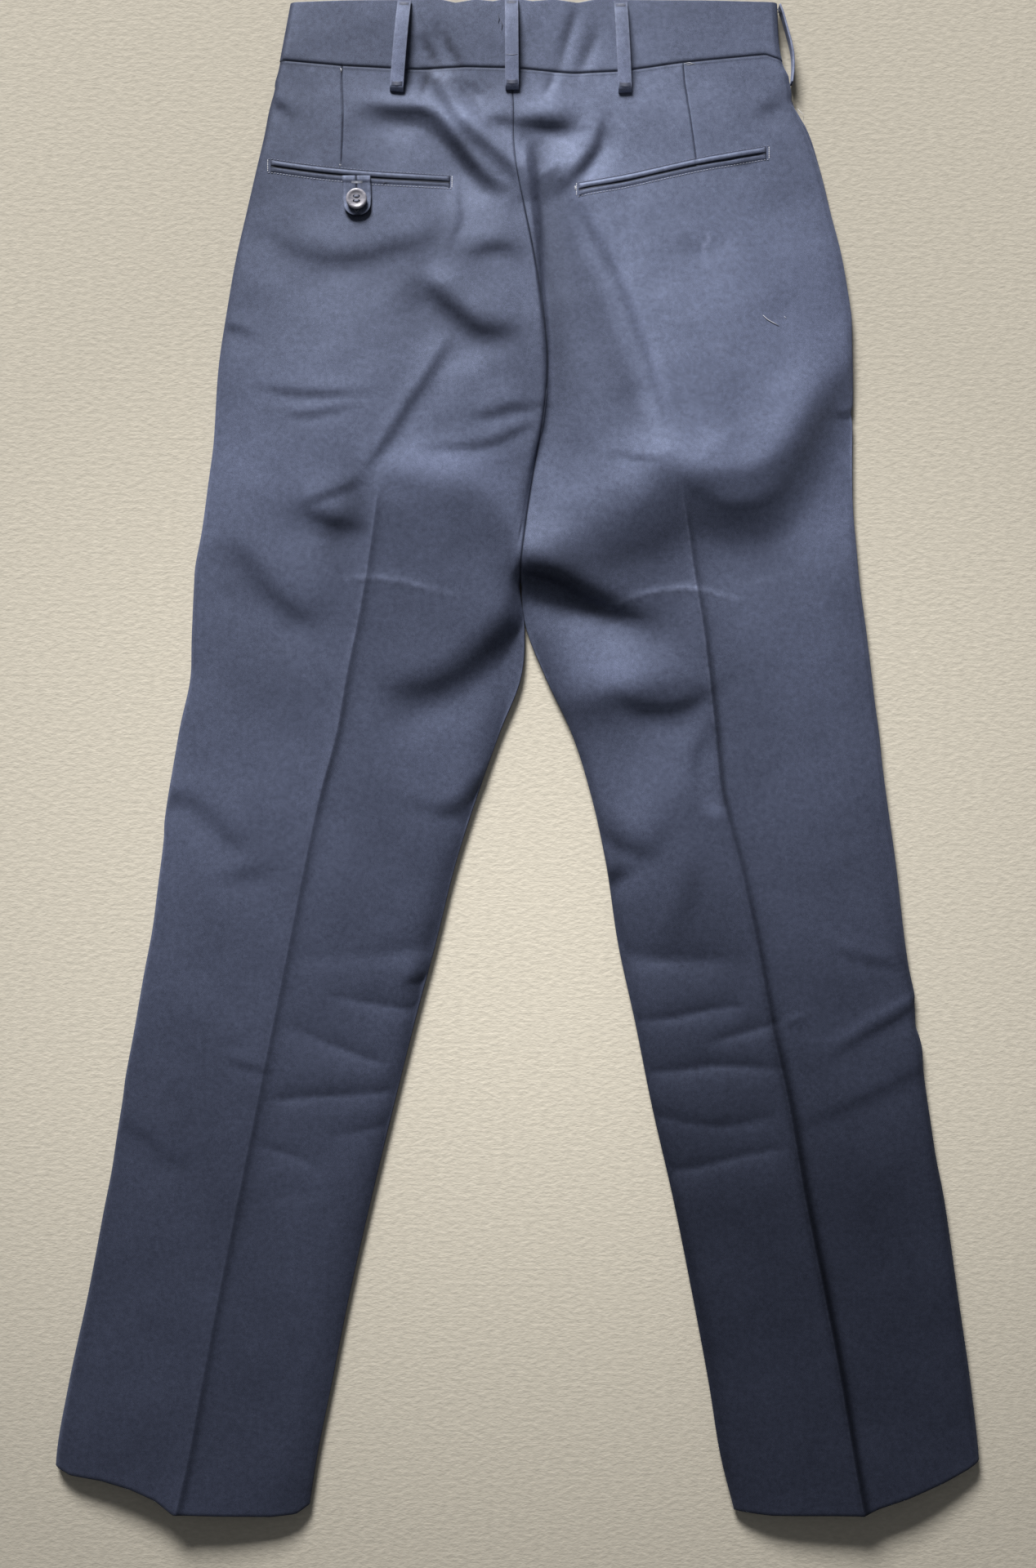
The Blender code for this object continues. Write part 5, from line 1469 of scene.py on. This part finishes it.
def button(tree):
    """A turned four-hole button with a raised rim, sewn on by two bars of thread."""
    obj = turned_button()
    across = TAB_ACROSS + TAB_LEAN * BUTTON_BELOW_MOUTH
    down = float(mouth_down(LEFT_MOUTH, TAB_ACROSS)) + BUTTON_BELOW_MOUTH
    ground = max(top_of([tree], across + x, down + y) for x in (-5, 0, 5) for y in (-5, 0, 5))
    drill(obj)
    obj.location = Vector(place(across, down, ground + SEAM_GAP / MM))
    dress(obj, ["pocket_left_button"])
    top = ground + SEAM_GAP / MM + 0.80 * BUTTON_THICKNESS / MM
    bars = []
    for row in (-1.7, 1.7):
        for shift in (-0.35, 0, 0.35):
            arch = ((-1.7, -1.2), (-1.5, 0), (0, 0.3), (1.5, 0), (1.7, -1.2))
            bars.append([(across + off, down + row + shift, top + rise) for off, rise in arch])
    sew("button_thread_left", bars, PLAIN_THREAD, SEWING)


PocketFoldRow = namedtuple("PocketFoldRow", "down radius")
POCKET_FOLD = table(
    PocketFoldRow,
    (78, 0.25), (84, 0.8), (92, 1.3), (104, 1.15), (116, 0.7), (130, 0.45), (158, 0.25),
)
PocketFoldLevel = namedtuple("PocketFoldLevel", "down level")
POCKET_FOLD_LEVEL = table(PocketFoldLevel, (78, 3.8), (120, 3.4), (158, 3.1))


def pocket_edge():
    """The rounded fold of the front panel that shows beside the right side pocket."""
    down = np.linspace(POCKET_FOLD[0].down, POCKET_FOLD[-1].down, 60)
    size = straight_through(POCKET_FOLD, "down", "radius", down)
    across = LEGS["right"].outseam(down) + size + 0.35
    height = straight_through(POCKET_FOLD_LEVEL, "down", "level", down)
    sides = 12
    angles = [2 * math.pi * step / sides for step in range(sides)]
    corners = []
    for x, y, z, r in zip(across, down, height, size):
        corners += [place(x + r * math.cos(angle), y, z + 0.9 * r * math.sin(angle)) for angle in angles]
    faces = tube_faces(0, len(down), sides)
    fold = closed_mesh("side_pocket_fold_right", corners, faces, SERGE)
    return dress(fold, ["side_pocket_edge_right"])


LapRow = namedtuple("LapRow", "down left right")
UNDERLAP = table(LapRow, (58, -36, 6), (130, -36, 6), (200, -26, 16), (250, -8, 24))
UNDERLAP_COLUMNS = 12


def underlap():
    """The strip behind the front opening, on the two front panels."""
    wall = PANEL_WALL / MM
    down = np.linspace(UNDERLAP[0].down, UNDERLAP[-1].down, 40)
    left, right = (straight_through(UNDERLAP, "down", edge, down) for edge in ("left", "right"))
    lift = straight_through(HEIGHTS, "down", "front_lift", down)
    points = []
    for y, start, end, up in zip(down, left, right, lift):
        across = np.linspace(start, end, UNDERLAP_COLUMNS)
        height = up + 1.5 * wall + 2 * SEAM_GAP / MM
        points.append(np.stack(np.broadcast_arrays(across, y, height), axis=-1))
    strip = grid_mesh("cloth_fly_underlap", np.array(points), SERGE)
    thicken(strip, PANEL_CLOTH, 0.0003, 2)
    return dress(strip, ["fly_underlap"])


# Short threads that show, in (across, down): each list is one thread
WHITE_THREADS = [
    [(42.4, 139.4), (42.9, 141.2), (42.2, 143.0)],
    [(43.2, 139.8), (42.4, 141.6), (43.4, 142.6)],
    [(41.8, 140.2), (43.6, 141.4)],
    [(131.2, 120.6), (132.4, 121.6)],
    [(131.0, 121.8), (132.2, 120.8)],
    [(-131.2, 51.4), (-130.4, 53.2), (-131.0, 54.8)],
    [(-130.2, 51.8), (-131.2, 53.6)],
    [(-131.8, 123.6), (-130.6, 124.8)],
    [(-131.6, 125.0), (-130.4, 123.8)],
    [(123.2, 48.4), (127.0, 47.6), (131.6, 48.8)],
    [(125.0, 49.4), (129.4, 48.6)],
]
DARK_THREADS = [
    [(-98.6, 136.0), (-97.2, 137.4), (-98.8, 138.6), (-99.8, 137.0)],
    [(-97.0, 135.8), (-96.2, 137.6), (-97.6, 138.4)],
    [(-14.8, 12.2), (-13.4, 15.6), (-14.2, 19.0)],
    [(-12.8, 16.4), (-11.2, 20.2), (-11.8, 24.2)],
]
LINT = [
    [(180.9, 235.8), (184.2, 239.0), (188.6, 241.4), (193.0, 243.6)],
    [(196.9, 236.2), (198.6, 238.0)],
]


def laid_on(trees, threads, lift=0.12):
    return [[(x, y, top_of(trees, x, y) + lift) for x, y in thread] for thread in threads]


def loop_threads(loop, tree):
    """The threads that hold a belt loop: a row at its top and a bar tack at its foot."""
    top, foot = [], []
    length = LOOP_LENGTH / MM
    for down in (loop.top + 3.0, loop.top + 3.8, loop.top + 4.6):
        middle = loop_across(loop, (down - loop.top) / length)
        top.append([(middle + off, down) for off in (-3.6, -1.2, 1.2, 3.6)])
    for step in range(6):
        down = loop.top + 61.4 + 0.45 * step
        middle = loop_across(loop, (down - loop.top) / length)
        foot.append([(middle - 4.0, down), (middle, down + 0.25), (middle + 4.0, down)])
    return laid_on([tree], top), laid_on([tree], foot)


# The rows of stitches above and below a pocket's mouth, and their stitches, in millimetres
UPPER_STITCHES = 5.2
LOWER_STITCHES = 5.0
STITCH_PITCH = 2.3
STITCH_LENGTH = 1.4
TACK_PITCH = 1.5
TACK_LENGTH = 1.35


def pocket_stitching(trees):
    """The rows of stitches along both back pockets, and a row across each end."""
    for side, mouth in MOUTHS.items():
        across, down = mouth_path(mouth, 80)
        outwards = -1 if side == "left" else 1
        first, last = across[0] + 2.2 * outwards, across[-1] - 1.5 * outwards
        reach = np.linspace(first, last, 90)
        line = np.interp(reach, across[::outwards * -1], down[::outwards * -1])
        upper = np.stack([reach, line - UPPER_STITCHES], axis=1)
        lower = np.stack([reach, line + LOWER_STITCHES], axis=1)
        strands = stitch_strands(lower, trees[side], STITCH_PITCH, STITCH_LENGTH, 0.12)
        ends = []
        for end in (0, -1):
            bar = [(reach[end], line[end] - 5.0), (reach[end], line[end] + 5.2)]
            ends += stitch_strands(bar, trees[side], TACK_PITCH, TACK_LENGTH)
        sew(f"pocket_stitching_{side}", strands, PLAIN_THREAD, PALE_SEWING)
        sew(f"pocket_end_stitching_{side}", ends, THICK_THREAD, WHITE_SEWING)
        top_row = stitch_strands(upper, trees[side], STITCH_PITCH, STITCH_LENGTH, 0.10)
        sew(f"pocket_top_stitching_{side}", top_row, THIN_THREAD, SEWING)


def sewing(trees, tab_tree, loop_trees):
    """All the other stitches and threads that show."""
    both = trees["left"] + trees["right"]
    tops, feet = [], []
    for loop, tree in zip(BACK_LOOPS, loop_trees):
        top, foot = loop_threads(loop, tree)
        tops += top
        feet += foot
    sew("loop_top_threads", tops, FINE_THREAD, PALE_SEWING)
    sew("loop_bar_tacks", feet, THIN_THREAD, SEWING)
    pale = laid_on(both, WHITE_THREADS)
    sew("pale_knots", pale, KNOT_THREAD, WHITE_SEWING)
    across_loop = laid_on([loop_trees[1]], [[(-8.6, 44.6), (-4.2, 45.0), (0.2, 44.4)]])
    sew("centre_loop_thread", across_loop, FINE_THREAD, PALE_SEWING)
    sew("dark_knots", laid_on(both, DARK_THREADS, 0.2), THICK_THREAD, DARK_SEWING)
    sew("lint", laid_on(both, LINT, 0.3), PLAIN_THREAD, WHITE_SEWING)
    start = float(mouth_down(LEFT_MOUTH, TAB_ACROSS))
    bar = []
    for off in (4.6, 5.0, 5.4, 5.8):
        bar.append([(-122.6, start + off), (-118.4, start + off + 0.1), (-114.2, start + off)])
    tip = [[(-120.4, start + 25.6), (-118.6, start + 28.0)], [(-116.6, start + 25.6), (-118.2, start + 28.0)]]
    sew("tab_threads", laid_on([tab_tree], bar + tip), KNOT_THREAD, PALE_SEWING)
    knot = [
        [(192.6, 7.0, 9.6), (194.6, 8.6, 10.6), (194.2, 11.0, 9.8), (195.6, 12.8, 9.0)],
        [(193.6, 6.4, 10.2), (193.2, 9.2, 10.6), (195.4, 10.4, 10.0)],
        [(192.4, 9.8, 9.4), (194.8, 9.4, 10.4), (196.0, 11.4, 9.4)],
    ]
    sew("side_loop_knot", knot, HEAVY_THREAD, DARK_SEWING)
    loose = [[(208.4, 78.6, 3.4), (210.2, 81.0, 4.4), (212.6, 83.2, 4.0), (213.2, 87.4, 3.0)]]
    sew("loose_thread", loose, HAIR_THREAD, WHITE_SEWING)


FLOOR_WIDTH = 6
FLOOR_LEVEL = -0.0004


def floor():
    bpy.ops.mesh.primitive_plane_add(size=FLOOR_WIDTH, location=(0, 0, FLOOR_LEVEL))
    ground = bpy.context.object
    ground.name = "floor"
    ground.data.materials.append(floor_material())


def camera():
    made = bpy.data.cameras.new("camera")
    made.sensor_width = SENSOR
    made.lens = SENSOR * CAMERA_HEIGHT / VIEW_HEIGHT
    obj = bpy.data.objects.new("camera", made)
    bpy.context.scene.collection.objects.link(obj)
    obj.location = (VIEW_ACROSS, LENGTH / 2 - VIEW_DOWN, CAMERA_LEVEL + CAMERA_HEIGHT)
    bpy.context.scene.camera = obj


def area_light(name, location, target, size, power, colour):
    light = bpy.data.lights.new(name, "AREA")
    light.shape = "RECTANGLE"
    light.size, light.size_y = size
    light.energy = power
    light.color = colour
    obj = bpy.data.objects.new(name, light)
    bpy.context.scene.collection.objects.link(obj)
    obj.location = location
    aim = Vector(target) - Vector(location)
    obj.rotation_euler = aim.to_track_quat("-Z", "Y").to_euler()


WINDOW_PLACE = (-1.5, 5.9, 2.8)
WINDOW_AIM = (0.0, -0.1, 0)
WINDOW_SIZE = (2.4, 1.5)
WINDOW_POWER = 1080
WINDOW_COLOUR = (1.0, 0.985, 0.96)
ROOM_COLOUR = (0.96, 0.98, 1.0, 1)
ROOM_POWER = 0.14


def lights():
    """Soft daylight from beyond the waist and a little from the left, and a weak room light."""
    area_light("window", WINDOW_PLACE, WINDOW_AIM, WINDOW_SIZE, WINDOW_POWER, WINDOW_COLOUR)
    world = bpy.data.worlds.new("room")
    world.use_nodes = True
    room = world.node_tree.nodes["Background"].inputs
    room["Color"].default_value = ROOM_COLOUR
    room["Strength"].default_value = ROOM_POWER
    bpy.context.scene.world = world
    bpy.context.scene.view_settings.view_transform = "Standard"


def main():
    camera()
    lights()
    floor()
    panel = panels()
    band = bands()
    trees = {side: [surface_of(panel[side][0]), surface_of(band[side][0])] for side in LEGS}
    both = trees["left"] + trees["right"]
    loops = [back_loop(loop, both) for loop in BACK_LOOPS]
    hidden = [hidden_loop(loop) for loop in HIDDEN_LOOPS]
    side = side_loop()
    welts = []
    for name, mouth in MOUTHS.items():
        welts.append(welt(name, "upper", mouth, UPPER_WELT, trees[name][0]))
        welts.append(welt(name, "lower", mouth, LOWER_WELT, trees[name][0]))
    tab = pocket_tab([trees["left"][0], surface_of(welts[1])])
    tab_tree = surface_of(tab)
    button(tab_tree)
    pocket_edge()
    strip = underlap()
    pocket_stitching(trees)
    sewing(trees, tab_tree, [surface_of(loop) for loop in loops])
    strips = [(loop, (0.0105, 0.070), ["band_back_left", "band_back_right"], 1) for loop in loops]
    strips += [(loop, (0.0105, 0.067), ["floor"], 1) for loop in hidden]
    strips += [(side, (0.0105, 0.064), ["floor"], 1)]
    strips += [(piece, (0.010, 0.142), ["cloth_back_left", "cloth_back_right"], 0.5) for piece in welts]
    strips += [(tab, (0.022, 0.031), ["cloth_back_left"], 0.9)]
    strips += [(strip, (0.042, 0.192), ["cloth_front_left", "cloth_front_right"], 1)]


main()
